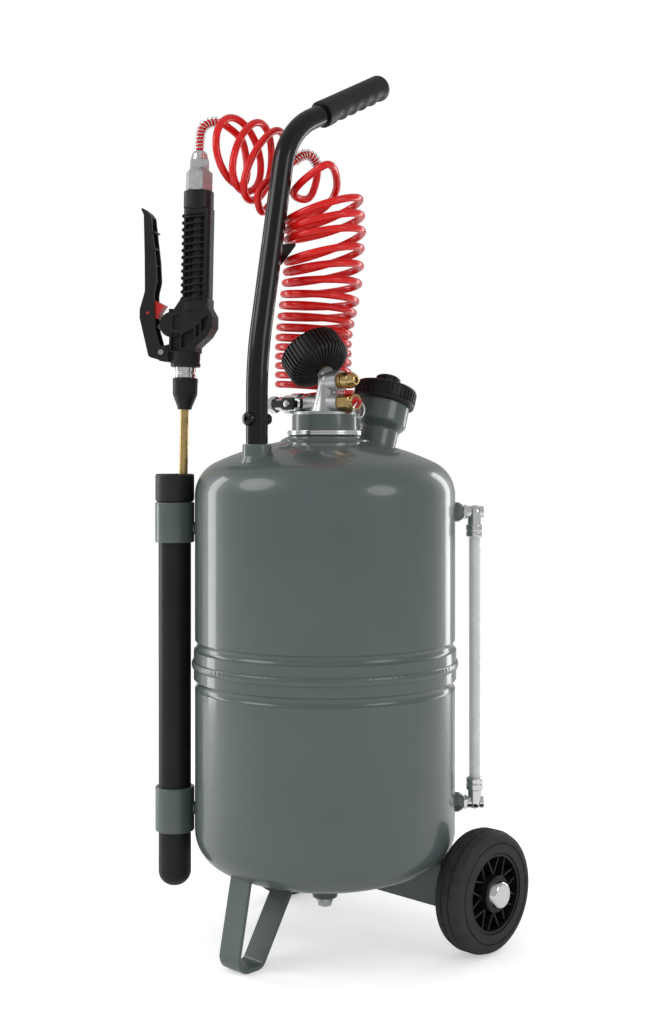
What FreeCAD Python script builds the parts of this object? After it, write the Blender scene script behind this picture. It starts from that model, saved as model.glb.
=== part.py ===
"""Wheeled pressure sprayer cart: 24 litre steel tank, lance with spray gun, curly hose.

Millimetres, +Z up.  The cart stands on z = 0 on its two wheels and its strap foot.  The wheel
axle runs along X, the wheels are at the +Y side and the foot and the push handle at the -Y side.
Everything is drawn round the tank's own axis, then moved by AXIS_Y so that the origin is at the
middle of the footprint.
"""
import FreeCAD, Part
import math
import os

V = FreeCAD.Vector
X_AXIS = V(1, 0, 0)
Y_AXIS = V(0, 1, 0)
Z_AXIS = V(0, 0, 1)
FIT = 0.05
GAP = 0.3

# Whole cart
AXIS_Y = -5.7

# Tank, two drawn steel halves butt welded at a raised belt
TANK_RADIUS = 136.0
SHEET = 2.0
KNUCKLE = 38.0
TOP_KNUCKLE_Z = 467.0
TOP_CROWN_Z = 527.0
LOW_KNUCKLE_Z = 120.0
LOW_CROWN_Z = 62.0
SEAM_Z = 292.0
BELT_HALF = 20.0
BELT_RISE = 1.2
GROOVE_HALF = 4.5
GROOVE_DEPTH = 2.2
ROOT_GAP = 1.2

# Neck collar, clamp ring and manifold
NECK_RADIUS = 34.5
NECK_BORE = 28.0
NECK_TOP = 551.0
CLAMP_RADIUS = 39.3
CLAMP_LOW = 529.2
CLAMP_HIGH = 534.4
PLATE_TOP = 554.0
LOWER_PORT_Z = 563.0
UPPER_PORT_Z = 586.0
HUB_X = 8.0
PORT_SOCKET = 5.5
VALVE_ROOM = 11.8

# Filler neck, leaning along the dome towards +Y
FILLER_Y = 76.6
FILLER_Z = 516.0
FILLER_LEAN = 17.5
FILLER_TUBE = 22.7
FILLER_CUP = 29.2
FILLER_MOUTH = 64.0

# Pressure gauge on the leaning top port
GAUGE_LEAN = 42.0
GAUGE_BACK = 17.5
BOOT_RADIUS = 34.0
BOOT_DEPTH = 30.0
BOOT_RIBS = 44
NEEDLE_ZERO = 45.0

# Sight gauge on one side, lance holder on the other
SIDE_AZIMUTH = 44.0
SIGHT_RADIUS = 157.0
SIGHT_TOP = 449.0
SIGHT_LOW = 145.0
HOLDER_RADIUS = 157.5
HOLDER_OUT = 17.0
HOLDER_IN = 15.0
HOLDER_LOW = 58.5
HOLDER_HIGH = 489.0
RING_OUT = 20.5

# Push handle in the plane x = 0
HANDLE_Y = -98.0
HANDLE_TUBE = 11.0
HANDLE_WALL = 2.0
HANDLE_CORNERS = ((-98.0, 520.0), (-98.0, 604.0), (-55.5, 840.4), (86.0, 909.6))
HANDLE_BENDS = (400.0, 76.0)
GRIP_LENGTH = 106.0
GRIP_RADIUS = 14.0

# Strap foot
STRAP_WIDTH = 27.0
STRAP_THICK = 4.0

# Wheels, bracket and axle
WHEEL_Y = 88.0
WHEEL_RADIUS = 62.5
WHEEL_INNER = 123.0
WHEEL_OUTER = 157.0
RIM_RADIUS = 41.0
AXLE_RADIUS = 6.0
HUB_END = 166.0
BRACKET_Y = 60.0
BRACKET_HALF = 107.0
BRACKET_LOW = 44.0
BRACKET_SHEET = 3.0

# Lance and spray gun, drawn upright at the origin and then stood in the holder
LANCE_FOOT = 64.0
LANCE_LEAN = 1.2
GUN_AZIMUTH = 32.0
LANCE_RADIUS = 4.5
GRIP_U = 11.5
GUN_HALF = 13.0
PIVOT_U = -24.4
PIVOT_Z = 616.0
ROD_Z = 643.7
ROD_END = -43.1
LATCH_U = -40.0
LATCH_Z = 657.0

# How far along a wound form its next stretch counts, in wire radii
GAP_FREE = 8.0

# Curly hose: a stack of turns, then a fan that hangs from the hook, then loops by the gun.
# Its points are (right, away, up) as seen from the front corner, from the tank's axis.
HOSE_RADIUS = 3.9
HOSE_STRAIGHT = 9.0
COIL_RADIUS = 39.0
COIL_TURNS = 16
FAN_FROM = 4.5
FAN_OVER = 8.5
STACK_AWAY = 89.6
STACK_LEFT = -51.8
FAN_AWAY = -26.5
FAN_LEFT = -39.0
RIGHT_START = 579.5
LEFT_START = 587.2
STACK_PITCH = 10.3
FAN_PITCH_RIGHT = 16.6
FAN_PITCH_LEFT = 9.6
HOOK_TURN = 13
HOOK_STEP = 13.0
HOSE_TAIL = ((-78.0, 89.0, 564.0), (-68.0, 110.0, 567.0), (-44.5, 123.7, 571.0))
HOSE_TOP = ((11.5, -27.0, 794.0), (-4.0, -62.0, 799.0), (-24.0, -47.0, 787.0), (-36.0, -27.0, 776.0),
            (-16.8, 5.0, 775.0), (-9.0, 8.0, 795.6), (-7.4, 6.0, 813.0), (-13.6, 0.0, 822.9), (-23.0, -4.0, 823.6),
            (-32.3, -10.0, 814.6), (-43.0, -15.0, 806.9))
HOSE_LOOPS = ((-70.0, -36.5, 781.0), (-60.0, -10.0, 767.5), (-42.6, 23.0, 817.5), (-52.6, -6.0, 847.5),
              (-82.6, -33.0, 793.0), (-70.0, -6.0, 777.3), (-57.1, 26.0, 827.7), (-72.7, -3.0, 856.6),
              (-95.0, -32.0, 805.6), (-78.5, -3.0, 785.1), (-70.0, 29.0, 828.3), (-96.5, 0.0, 862.3),
              (-111.7, -29.0, 822.6), (-89.2, 0.0, 790.9), (-83.9, 18.0, 824.0), (-94.2, 14.0, 846.4),
              (-103.3, 8.0, 855.7), (-112.5, 4.0, 859.5), (-124.0, 1.0, 857.0), (-130.0, -1.0, 850.0))

# Spring guards wound round the hose where it crosses the handle and where it enters the gun
GUARD_RADIUS = 5.5
GUARD_WIRE = 0.6
GUARD_PITCH = 4.1
GUARD_FROM = 6
GUARD_TO = 9


def rounded_wire(corners, to_space):
    """Closed wire through (u, v) corners; a third number rounds that corner with an arc."""
    spots = []
    count = len(corners)
    for index, corner in enumerate(corners):
        here = V(corner[0], corner[1], 0)
        radius = corner[2] if len(corner) > 2 else 0
        if radius == 0:
            spots.append((here, None, here))
            continue
        last = corners[index - 1]
        following = corners[(index + 1) % count]
        back = (V(last[0], last[1], 0) - here).normalize()
        ahead = (V(following[0], following[1], 0) - here).normalize()
        half = back.getAngle(ahead) / 2
        reach = radius / math.tan(half)
        middle = here + (back + ahead).normalize() * (radius / math.sin(half) - radius)
        spots.append((here + back * reach, middle, here + ahead * reach))
    edges = []
    for index, (start, middle, end) in enumerate(spots):
        if middle is not None:
            edges.append(Part.Arc(to_space(start), to_space(middle), to_space(end)).toShape())
        target = spots[(index + 1) % count][0]
        if (target - end).Length > 1e-6:
            edges.append(Part.LineSegment(to_space(end), to_space(target)).toShape())
    return Part.Wire(edges)


def upright(point):
    """A drawing point (u, v) as (x, z)."""
    return V(point.x, 0, point.y)


def turned(corners):
    """Solid of revolution about Z of a closed (radius, height) outline."""
    return Part.Face(rounded_wire(corners, upright)).revolve(V(0, 0, 0), Z_AXIS, 360)


def slab(corners, low, high):
    """Plate of an (x, z) outline between two y positions."""
    face = Part.Face(rounded_wire(corners, upright))
    face.translate(V(0, low, 0))
    return face.extrude(V(0, high - low, 0))


def flat_slab(corners, low, high):
    """Plate of an (x, y) outline between two heights."""
    face = Part.Face(rounded_wire(corners, lambda point: V(point.x, point.y, low)))
    return face.extrude(V(0, 0, high - low))


def rod(radius, start, end):
    """Round bar between two points."""
    way = end - start
    return Part.makeCylinder(radius, way.Length, start, way)


def tube(outer, inner, start, end):
    """Round tube between two points."""
    way = (end - start).normalize()
    return rod(outer, start, end).cut(rod(inner, start - way, end + way))


def hexagon(across_flats, low, high):
    """Hexagonal bar along Z with its corners turned off by a cone at both ends."""
    corner = across_flats / math.sqrt(3)
    points = [(corner * math.cos(math.radians(60 * k)), corner * math.sin(math.radians(60 * k)))
              for k in range(6)]
    bar = flat_slab(points, low, high)
    ease = corner - across_flats / 2
    blank = turned([(0, low), (across_flats / 2, low), (corner, low + ease / 2),
                    (corner, high - ease / 2), (across_flats / 2, high), (0, high)])
    return bar.common(blank)


def aimed(shape, origin, direction, hint=Z_AXIS):
    """Copy of a shape drawn along Z, moved so that Z points along the direction."""
    turn = FreeCAD.Rotation(hint, V(0, 0, 0), direction, "ZXY")
    moved = shape.copy()
    moved.Placement = FreeCAD.Placement(origin, turn).multiply(moved.Placement)
    return moved


def swung(shape, degrees):
    """Copy of a shape turned about the tank axis."""
    moved = shape.copy()
    moved.rotate(V(0, 0, 0), Z_AXIS, degrees)
    return moved


def joined(shapes):
    """Shapes fused into one clean solid."""
    whole = shapes[0]
    for shape in shapes[1:]:
        whole = whole.fuse(shape)
    return whole.removeSplitter()


def toothed(root, tip, teeth, low, high, share=0.5):
    """Bar with straight teeth along Z; share is how much of the pitch a tooth takes."""
    pitch = 2 * math.pi / teeth
    corners = []
    for tooth in range(teeth):
        start = tooth * pitch
        for radius, angle in ((root, 0), (tip, 0.08), (tip, share), (root, share + 0.08)):
            turn = start + angle * pitch
            corners.append((radius * math.cos(turn), radius * math.sin(turn)))
    return flat_slab(corners, low, high)


def crown_radius(height):
    """Radius of the dished crown that meets the knuckle at this height above it."""
    flat = TANK_RADIUS - KNUCKLE
    return (flat ** 2 + height ** 2 - KNUCKLE ** 2) / (2 * (height - KNUCKLE))


def half_profile(knuckle_z, crown_z, mouth, inset, end_z):
    """Edges of one tank half from its mouth to the seam, moved inwards by inset."""
    side = 1 if crown_z > knuckle_z else -1
    big = crown_radius(abs(crown_z - knuckle_z))
    centre_z = crown_z - side * big
    lean = math.asin((TANK_RADIUS - KNUCKLE) / (big - KNUCKLE))

    def on_crown(angle):
        return V((big - inset) * math.sin(angle), 0, centre_z + side * (big - inset) * math.cos(angle))

    def on_knuckle(angle):
        small = KNUCKLE - inset
        return V(TANK_RADIUS - KNUCKLE + small * math.sin(angle), 0,
                 knuckle_z + side * small * math.cos(angle))

    mouth_angle = math.asin(mouth / (big - inset))
    groove_z = SEAM_Z + side * BELT_HALF
    wall = TANK_RADIUS - inset
    first = Part.Arc(on_crown(mouth_angle), on_crown((mouth_angle + lean) / 2), on_crown(lean))
    second = Part.Arc(on_knuckle(lean), on_knuckle((lean + math.pi / 2) / 2), on_knuckle(math.pi / 2))
    groove_start = V(wall, 0, groove_z + side * GROOVE_HALF)
    groove_end = V(wall + BELT_RISE, 0, groove_z - side * GROOVE_HALF)
    groove = Part.Arc(groove_start, V(wall - GROOVE_DEPTH, 0, groove_z), groove_end)
    seam = V(wall + BELT_RISE, 0, end_z)
    return [first.toShape(), second.toShape(),
            Part.LineSegment(on_knuckle(math.pi / 2), groove_start).toShape(),
            groove.toShape(), Part.LineSegment(groove_end, seam).toShape()]


def tank_half(knuckle_z, crown_z, mouth, end_z):
    """One drawn half of the tank, a sheet of even thickness with an open mouth."""
    outer = half_profile(knuckle_z, crown_z, mouth, 0, end_z)
    inner = half_profile(knuckle_z, crown_z, mouth, SHEET, end_z)
    top = Part.LineSegment(outer[0].firstVertex().Point, inner[0].firstVertex().Point)
    low = Part.LineSegment(outer[-1].lastVertex().Point, inner[-1].lastVertex().Point)
    edges = Part.__sortEdges__(outer + inner + [top.toShape(), low.toShape()])
    return Part.Face(Part.Wire(edges)).revolve(V(0, 0, 0), Z_AXIS, 360)


def tank_body():
    """Solid of the tank's outside, used to trim what is welded on."""
    parts = []
    for knuckle_z, crown_z in ((TOP_KNUCKLE_Z, TOP_CROWN_Z), (LOW_KNUCKLE_Z, LOW_CROWN_Z)):
        edges = half_profile(knuckle_z, crown_z, 1.0, 0, SEAM_Z)
        start = edges[0].firstVertex().Point
        end = edges[-1].lastVertex().Point
        close = [Part.LineSegment(start, V(0, 0, start.z)).toShape(),
                 Part.LineSegment(V(0, 0, start.z), V(0, 0, end.z)).toShape(),
                 Part.LineSegment(V(0, 0, end.z), end).toShape()]
        face = Part.Face(Part.Wire(Part.__sortEdges__(edges + close)))
        parts.append(face.revolve(V(0, 0, 0), Z_AXIS, 360))
    return parts[0].fuse(parts[1])


def filler_frame(shape):
    """A shape drawn along Z from the dome, set on the leaning filler axis."""
    lean = math.radians(FILLER_LEAN)
    return aimed(shape, V(0, FILLER_Y, FILLER_Z), V(0, math.sin(lean), math.cos(lean)), X_AXIS)


def gauge_frame(shape):
    """A shape drawn along Z from the manifold hub, set on the leaning gauge axis."""
    lean = math.radians(GAUGE_LEAN)
    return aimed(shape, V(HUB_X, 0, UPPER_PORT_Z), V(-math.sin(lean), 0, math.cos(lean)), Y_AXIS)


def gun_frame(shape):
    """A shape drawn upright round the lance, stood in the holder with its lean."""
    side = math.radians(SIDE_AZIMUTH)
    moved = shape.copy()
    moved.rotate(V(0, 0, 0), Z_AXIS, GUN_AZIMUTH)
    moved.rotate(V(0, 0, LANCE_FOOT), V(-math.sin(side), math.cos(side), 0), LANCE_LEAN)
    moved.translate(V(-HOLDER_RADIUS * math.cos(side), -HOLDER_RADIUS * math.sin(side), 0))
    return moved


def make_tank(solid_tank):
    """The two halves, the girth weld and the collars welded to the dome."""
    upper = tank_half(TOP_KNUCKLE_Z, TOP_CROWN_Z, NECK_BORE, SEAM_Z + ROOT_GAP)
    upper = upper.cut(filler_frame(rod(FILLER_TUBE - SHEET, V(0, 0, -30), V(0, 0, 30))))
    lower = tank_half(LOW_KNUCKLE_Z, LOW_CROWN_Z, 8.0, SEAM_Z - ROOT_GAP)
    belt = TANK_RADIUS + BELT_RISE
    weld = turned([(belt - SHEET, SEAM_Z - ROOT_GAP), (belt, SEAM_Z - ROOT_GAP), (belt + 0.02, SEAM_Z - 4.0),
                   (belt + 1.6, SEAM_Z - 2.0, 1.5), (belt + 1.6, SEAM_Z + 2.0, 1.5),
                   (belt + 0.02, SEAM_Z + 4.0), (belt, SEAM_Z + ROOT_GAP), (belt - SHEET, SEAM_Z + ROOT_GAP)])
    neck = turned([(NECK_BORE, 518.0), (48.0, 518.0), (46.0, 524.5, 3.0), (37.0, CLAMP_LOW - 0.2, 2.0),
                   (NECK_RADIUS, CLAMP_LOW - 0.2), (NECK_RADIUS, NECK_TOP, 1.0), (NECK_BORE, NECK_TOP)])
    middle = (CLAMP_LOW + CLAMP_HIGH) / 2
    clamp = turned([(NECK_RADIUS + FIT, CLAMP_LOW), (CLAMP_RADIUS, CLAMP_LOW, 1.2),
                    (CLAMP_RADIUS, middle - 0.5, 0.6), (CLAMP_RADIUS - 1.2, middle, 0.6),
                    (CLAMP_RADIUS, middle + 0.5, 0.6), (CLAMP_RADIUS, CLAMP_HIGH, 1.2),
                    (NECK_RADIUS + FIT, CLAMP_HIGH)])
    drain = turned([(8.0, 46.0), (13.0, 46.0, 1.0), (15.0, 61.0), (15.0, 70.0), (8.0, 70.0)])
    plug = joined([turned([(0, 42.0), (8.6, 42.0), (8.6, 45.9), (7.9, 45.9), (7.9, 60.0), (0, 60.0)]),
                   hexagon(13.0, 37.0, 42.0)])
    return {"upper_shell": upper, "lower_shell": lower.fuse(drain.cut(solid_tank)).removeSplitter(),
            "girth_weld": weld, "neck_collar": neck.cut(solid_tank), "neck_clamp_ring": clamp,
            "drain_plug": plug}


def make_filler(solid_tank):
    """Stepped filler neck, its screw cap with a toothed rim, the gasket and the knob."""
    neck = turned([(FILLER_TUBE - SHEET, -12.0), (FILLER_TUBE, -12.0), (FILLER_TUBE, 20.0, 4.0),
                   (FILLER_CUP, 28.0, 6.0), (FILLER_CUP, FILLER_MOUTH, 0.8),
                   (FILLER_CUP - SHEET, FILLER_MOUTH), (FILLER_CUP - SHEET, 29.0, 6.0),
                   (FILLER_TUBE - SHEET, 21.0, 4.0)])
    skirt = FILLER_CUP + 0.4
    cap = turned([(skirt, 50.0), (33.4, 50.0, 1.5), (34.0, 54.5, 1.0), (33.2, 55.5), (33.2, 66.5),
                  (34.0, 67.0, 1.0), (32.5, 70.0, 2.0), (24.0, 72.0, 3.0), (17.0, 73.5), (0, 73.5),
                  (0, 68.0), (skirt, 68.0)])
    rim = toothed(33.0, 34.2, 40, 55.4, 66.6).cut(rod(32.0, V(0, 0, 50), V(0, 0, 70)))
    knob_arms = []
    for k in range(4):
        arm = Part.makeBox(28.0, 9.0, 9.0, V(-14.0, -4.5, 73.5))
        arm = arm.common(turned([(0, 73.5), (14.0, 73.5), (13.5, 80.5, 2.0), (10.0, 82.5), (0, 82.5)]))
        knob_arms.append(swung(arm, 45.0 * k))
    knob = joined(knob_arms + [rod(9.0, V(0, 0, 73.5), V(0, 0, 81.5))])
    gasket = turned([(20.0, 64.2), (28.6, 64.2, 0.8), (28.6, 67.6), (20.0, 67.6)])
    shapes = {"filler_neck": neck, "filler_cap": joined([cap, rim, knob]), "cap_gasket": gasket}
    shapes = {name: filler_frame(shape) for name, shape in shapes.items()}
    shapes["filler_neck"] = shapes["filler_neck"].cut(solid_tank)
    return shapes


def make_manifold():
    """Cast manifold screwed into the collar, with its dip tube and fittings."""
    hub = V(HUB_X, 0, UPPER_PORT_Z)
    lean = math.radians(GAUGE_LEAN)
    top_way = V(-math.sin(lean), 0, math.cos(lean))
    plug = turned([(0, 540.0), (NECK_BORE - FIT, 540.0, 1.0), (NECK_BORE - FIT, NECK_TOP + 0.05),
                   (33.0, NECK_TOP + 0.05), (33.0, PLATE_TOP, 0.8), (0, PLATE_TOP)])
    trunk = Part.makeLoft([Part.Wire(Part.makeCircle(16.0, V(0, 0, 553.0), Z_AXIS)),
                           Part.Wire(Part.makeCircle(12.0, V(1.0, 0, 566.0), Z_AXIS)),
                           Part.Wire(Part.makeCircle(10.5, V(HUB_X - 3.0, 0, UPPER_PORT_Z), Z_AXIS))], True)
    ports = [rod(9.5, V(-23.0, 0, LOWER_PORT_Z), V(23.5, 0, LOWER_PORT_Z)),
             rod(10.5, hub - X_AXIS * 8, V(23.5, 0, UPPER_PORT_Z)),
             rod(8.5, hub, hub + top_way * 13.0), Part.makeSphere(10.8, hub - X_AXIS * 2)]
    manifold = joined([plug, trunk] + ports)
    sockets = [rod(PORT_SOCKET, V(-24.0, 0, LOWER_PORT_Z), V(-12.0, 0, LOWER_PORT_Z)),
               rod(PORT_SOCKET, V(24.0, 0, LOWER_PORT_Z), V(12.0, 0, LOWER_PORT_Z)),
               rod(PORT_SOCKET, V(24.0, 0, UPPER_PORT_Z), V(14.0, 0, UPPER_PORT_Z)),
               rod(4.0, hub + top_way * 3.0, hub + top_way * 14.0),
               rod(6.0, V(0, 0, 530.0), V(0, 0, 549.0)),
               rod(2.5, V(0, 0, 548.0), V(0, 0, LOWER_PORT_Z)),
               rod(2.5, V(-13.0, 0, LOWER_PORT_Z), V(13.0, 0, LOWER_PORT_Z)),
               rod(VALVE_ROOM, V(-23.2, 0, LOWER_PORT_Z), V(-40.0, 0, LOWER_PORT_Z)),
               rod(VALVE_ROOM, V(23.5, 0, LOWER_PORT_Z), V(40.0, 0, LOWER_PORT_Z))]
    for socket in sockets:
        manifold = manifold.cut(socket)
    dip = tube(6.0 - FIT, 4.5, V(0, 0, 74.0), V(0, 0, 548.8))
    shapes = {"manifold": manifold, "dip_tube": dip}
    shapes.update(make_air_valve())
    shapes.update(make_relief_valve())
    shapes.update(make_ball_valve())
    return shapes


def make_air_valve():
    """Brass quick-fill air valve on the upper port, with its sprung core."""
    shank = PORT_SOCKET - FIT
    body = turned([(2.6, -9.0), (shank, -9.0), (shank, 0.0), (7.6, 0.0), (7.6, 4.4), (6.6, 4.4),
                   (6.6, 5.2), (8.5, 5.2, 1.5), (8.6, 15.0, 4.0), (5.0, 21.0, 2.0), (3.2, 21.6, 0.5),
                   (2.6, 21.0)])
    ring = toothed(8.0, 8.6, 36, 0.6, 4.2).cut(rod(7.5, V(0, 0, 0), V(0, 0, 5)))
    core = turned([(0, -5.0), (2.3, -5.0), (2.3, 16.0), (1.2, 17.0), (1.2, 20.0, 0.4), (0, 20.0)])
    start = V(23.55, 0, UPPER_PORT_Z)
    return {"air_valve_body": aimed(joined([body, ring]), start, X_AXIS),
            "air_valve_core": aimed(core, start, X_AXIS)}


def make_relief_valve():
    """Hexagonal relief valve on the lower port with its red stem head and pull ring."""
    shank = PORT_SOCKET - FIT
    body = joined([turned([(0, -9.0), (shank, -9.0), (shank, 0.1), (8.0, 0.1), (8.0, 1.2), (0, 1.2)]),
                   hexagon(16.4, 1.0, 17.0),
                   turned([(0, 16.5), (8.4, 16.5), (8.4, 21.0, 0.8), (0, 21.0)])])
    body = body.cut(rod(6.2, V(0, 0, 17.5), V(0, 0, 22.0)))
    body = body.cut(rod(2.6, V(0, 0, -9.5), V(0, 0, 18.0)))
    stem = turned([(0, 4.0), (2.3, 4.0), (2.3, 18.4), (5.8, 18.4), (5.8, 21.4, 0.7),
                   (2.2, 21.4), (2.2, 27.4, 0.6), (0, 27.4)])
    stem = stem.cut(rod(1.3, V(0, -4.0, 25.0), V(0, 4.0, 25.0)))
    ring = Part.makeTorus(8.0, 0.7, V(-8.0, 0, 25.0), Z_AXIS)
    sleeve = turned([(3.0, 0), (5.4, 0, 0.8), (5.4, 4.6, 1.0), (3.0, 4.6)])
    start = V(23.5, 0, LOWER_PORT_Z)
    shapes = {"relief_valve_body": aimed(body, start, X_AXIS),
              "relief_valve_stem": aimed(stem, start, X_AXIS),
              "relief_pull_ring": aimed(ring, start, X_AXIS)}
    sleeve.translate(V(34.0, 0, LOWER_PORT_Z + 8.25))
    shapes["relief_valve_sleeve"] = sleeve.cut(shapes["relief_valve_body"])
    return shapes


def make_ball_valve():
    """Small ball valve on the tank's outlet, its ball with stem, lever, screw and hose nut."""
    z = LOWER_PORT_Z
    shank = PORT_SOCKET - FIT
    centre = V(-39.0, 0, z)
    along = [rod(shank, V(-13.0, 0, z), V(-23.5, 0, z)),
             aimed(hexagon(18.0, 0, 6.0), V(-23.3, 0, z), V(-1, 0, 0)),
             aimed(turned([(0, 0), (9.5, 0), (11.5, 5.0, 3.0), (11.5, 17.0, 3.0), (8.0, 22.5), (0, 22.5)]),
                   V(-28.5, 0, z), V(-1, 0, 0)),
             aimed(hexagon(17.0, 0, 9.0), V(-50.5, 0, z), V(-1, 0, 0)),
             rod(6.4, V(-59.0, 0, z), V(-72.0, 0, z)),
             rod(5.2, centre, V(-39.0, -14.0, z))]
    body = joined(along)
    body = body.cut(Part.makeSphere(8.3, centre))
    body = body.cut(rod(3.4, V(-12.0, 0, z), V(-73.0, 0, z)))
    body = body.cut(rod(2.7, centre, V(-39.0, -15.0, z)))
    ball = Part.makeSphere(8.0, centre).cut(rod(3.4, V(-30.0, 0, z), V(-48.0, 0, z)))
    stem = joined([ball, rod(2.5, V(-39.0, -7.0, z), V(-39.0, -18.2, z))])
    lever = slab([(-30.5, z - 6.5, 2.0), (-30.5, z + 6.5, 2.0), (-45.0, z + 6.5, 2.5),
                  (-48.0, z + 3.8, 1.0), (-63.0, z + 3.8, 3.0), (-63.0, z - 3.8, 3.0),
                  (-48.0, z - 3.8, 1.0), (-45.0, z - 6.5, 2.5)], -18.0, -14.4)
    lever = lever.cut(rod(2.52, V(-39.0, -10.0, z), V(-39.0, -20.0, z)))
    screw = aimed(turned([(0, 0), (4.2, 0), (3.6, 1.8, 1.2), (0, 2.2)]), V(-39.0, -18.25, z), V(0, -1, 0))
    nut = joined([aimed(hexagon(16.0, 0, 9.0), V(-72.2, 0, z), V(-1, 0, 0)),
                  rod(6.5, V(-81.0, 0, z), V(-88.0, 0, z))])
    nut = nut.cut(rod(4.1, V(-71.0, 0, z), V(-89.0, 0, z)))
    return {"ball_valve_body": body, "ball_valve_stem": joined([stem, screw]),
            "ball_valve_lever": lever, "outlet_hose_nut": nut}


def make_gauge():
    """Pressure gauge: brass stem, steel case, dial, needle, lens and ribbed rubber boot."""
    back = GAUGE_BACK
    inner = BOOT_RADIUS - 4.5
    stem = joined([turned([(0, 4.0), (4.0 - FIT, 4.0), (4.0 - FIT, 13.05), (0, 13.05)]),
                   hexagon(13.0, 13.05, 17.0), rod(4.5, V(0, 0, 16.9), V(0, 0, back + 4.0))])
    blank = turned([(4.6, back), (BOOT_RADIUS - 9.0, back), (BOOT_RADIUS, back + 5.0, 7.0),
                    (BOOT_RADIUS, back + BOOT_DEPTH, 2.5), (25.0, back + BOOT_DEPTH, 1.0),
                    (25.0, back + BOOT_DEPTH - 2.5), (inner, back + BOOT_DEPTH - 2.5),
                    (inner, back + 4.0), (4.6, back + 4.0)])
    ribs = toothed(BOOT_RADIUS - 1.6, BOOT_RADIUS, BOOT_RIBS, back, back + BOOT_DEPTH)
    boot = blank.common(ribs)
    case = turned([(0, back + 4.05), (inner - FIT, back + 4.05, 2.0), (inner - FIT, back + 27.4),
                   (27.0, back + 27.4), (27.0, back + 6.0), (0, back + 6.0)])
    dial = turned([(1.4, back + 20.0), (26.9, back + 20.0), (26.9, back + 21.0), (1.4, back + 21.0)])
    lens = turned([(0, back + 25.2), (26.9, back + 25.2), (26.9, back + 26.8), (0, back + 26.8)])
    arm = flat_slab([(-8.0, -1.6), (0, -1.2), (20.0, -0.4), (21.5, 0), (20.0, 0.4), (0, 1.2),
                     (-8.0, 1.6)], back + 22.4, back + 23.2)
    needle = joined([arm, rod(1.2, V(0, 0, back + 19.0), V(0, 0, back + 24.0)),
                     rod(2.6, V(0, 0, back + 22.0), V(0, 0, back + 23.8))])
    needle.rotate(V(0, 0, 0), Z_AXIS, NEEDLE_ZERO)
    shapes = {"gauge_stem": stem, "gauge_boot": boot, "gauge_case": case, "gauge_dial": dial,
              "gauge_lens": lens, "gauge_needle": needle}
    return {name: gauge_frame(shape) for name, shape in shapes.items()}


def make_sight_gauge(solid_tank):
    """Level tube on the tank's side: welded bosses, elbows, push-in nuts and the clear tube."""
    bosses = []
    elbows = []
    nuts = []
    for z, side in ((SIGHT_TOP, -1), (SIGHT_LOW, 1)):
        boss = turned([(0, 0), (10.5, 0), (10.2, 6.0, 2.0), (7.2, 12.0, 3.0), (0, 12.0)])
        boss = aimed(boss, V(TANK_RADIUS - 3.0, 0, z), X_AXIS).cut(solid_tank)
        bosses.append(boss.cut(rod(4.5, V(TANK_RADIUS - 4.0, 0, z), V(150.0, 0, z))))
        collar = V(SIGHT_RADIUS, 0, z + side * 13.0)
        elbow = joined([rod(4.45, V(TANK_RADIUS + 1.0, 0, z), V(146.0, 0, z)),
                        rod(6.2, V(145.2, 0, z), V(SIGHT_RADIUS, 0, z)),
                        aimed(hexagon(13.0, 0, 3.5), V(145.2, 0, z), X_AXIS),
                        Part.makeSphere(7.2, V(SIGHT_RADIUS, 0, z)),
                        rod(7.2, V(SIGHT_RADIUS, 0, z), collar),
                        rod(6.2, V(SIGHT_RADIUS + 5.0, 0, z), V(SIGHT_RADIUS + 9.0, 0, z))])
        elbow = elbow.cut(rod(6.0 + FIT, collar - Z_AXIS * side * 5.0, collar + Z_AXIS * side * 2.0))
        elbow = elbow.cut(rod(4.0, V(SIGHT_RADIUS, 0, z), collar))
        elbows.append(elbow)
        nut = turned([(6.0 + FIT, 0.05), (9.0, 0.05, 1.0), (9.0, 6.0, 0.8), (8.3, 7.0), (9.0, 8.0, 0.8),
                      (9.0, 12.0, 1.5), (7.0, 13.5), (6.0 + FIT, 13.5)])
        nuts.append(aimed(nut, collar, Z_AXIS * side, X_AXIS))
    clear = tube(6.0, 4.5, V(SIGHT_RADIUS, 0, SIGHT_LOW + 8.2), V(SIGHT_RADIUS, 0, SIGHT_TOP - 8.2))
    shapes = {"upper_boss": bosses[0], "lower_boss": bosses[1], "sight_elbows": Part.makeCompound(elbows),
              "sight_nuts": Part.makeCompound(nuts), "sight_tube": clear}
    return {name: swung(shape, SIDE_AZIMUTH) for name, shape in shapes.items()}


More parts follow.
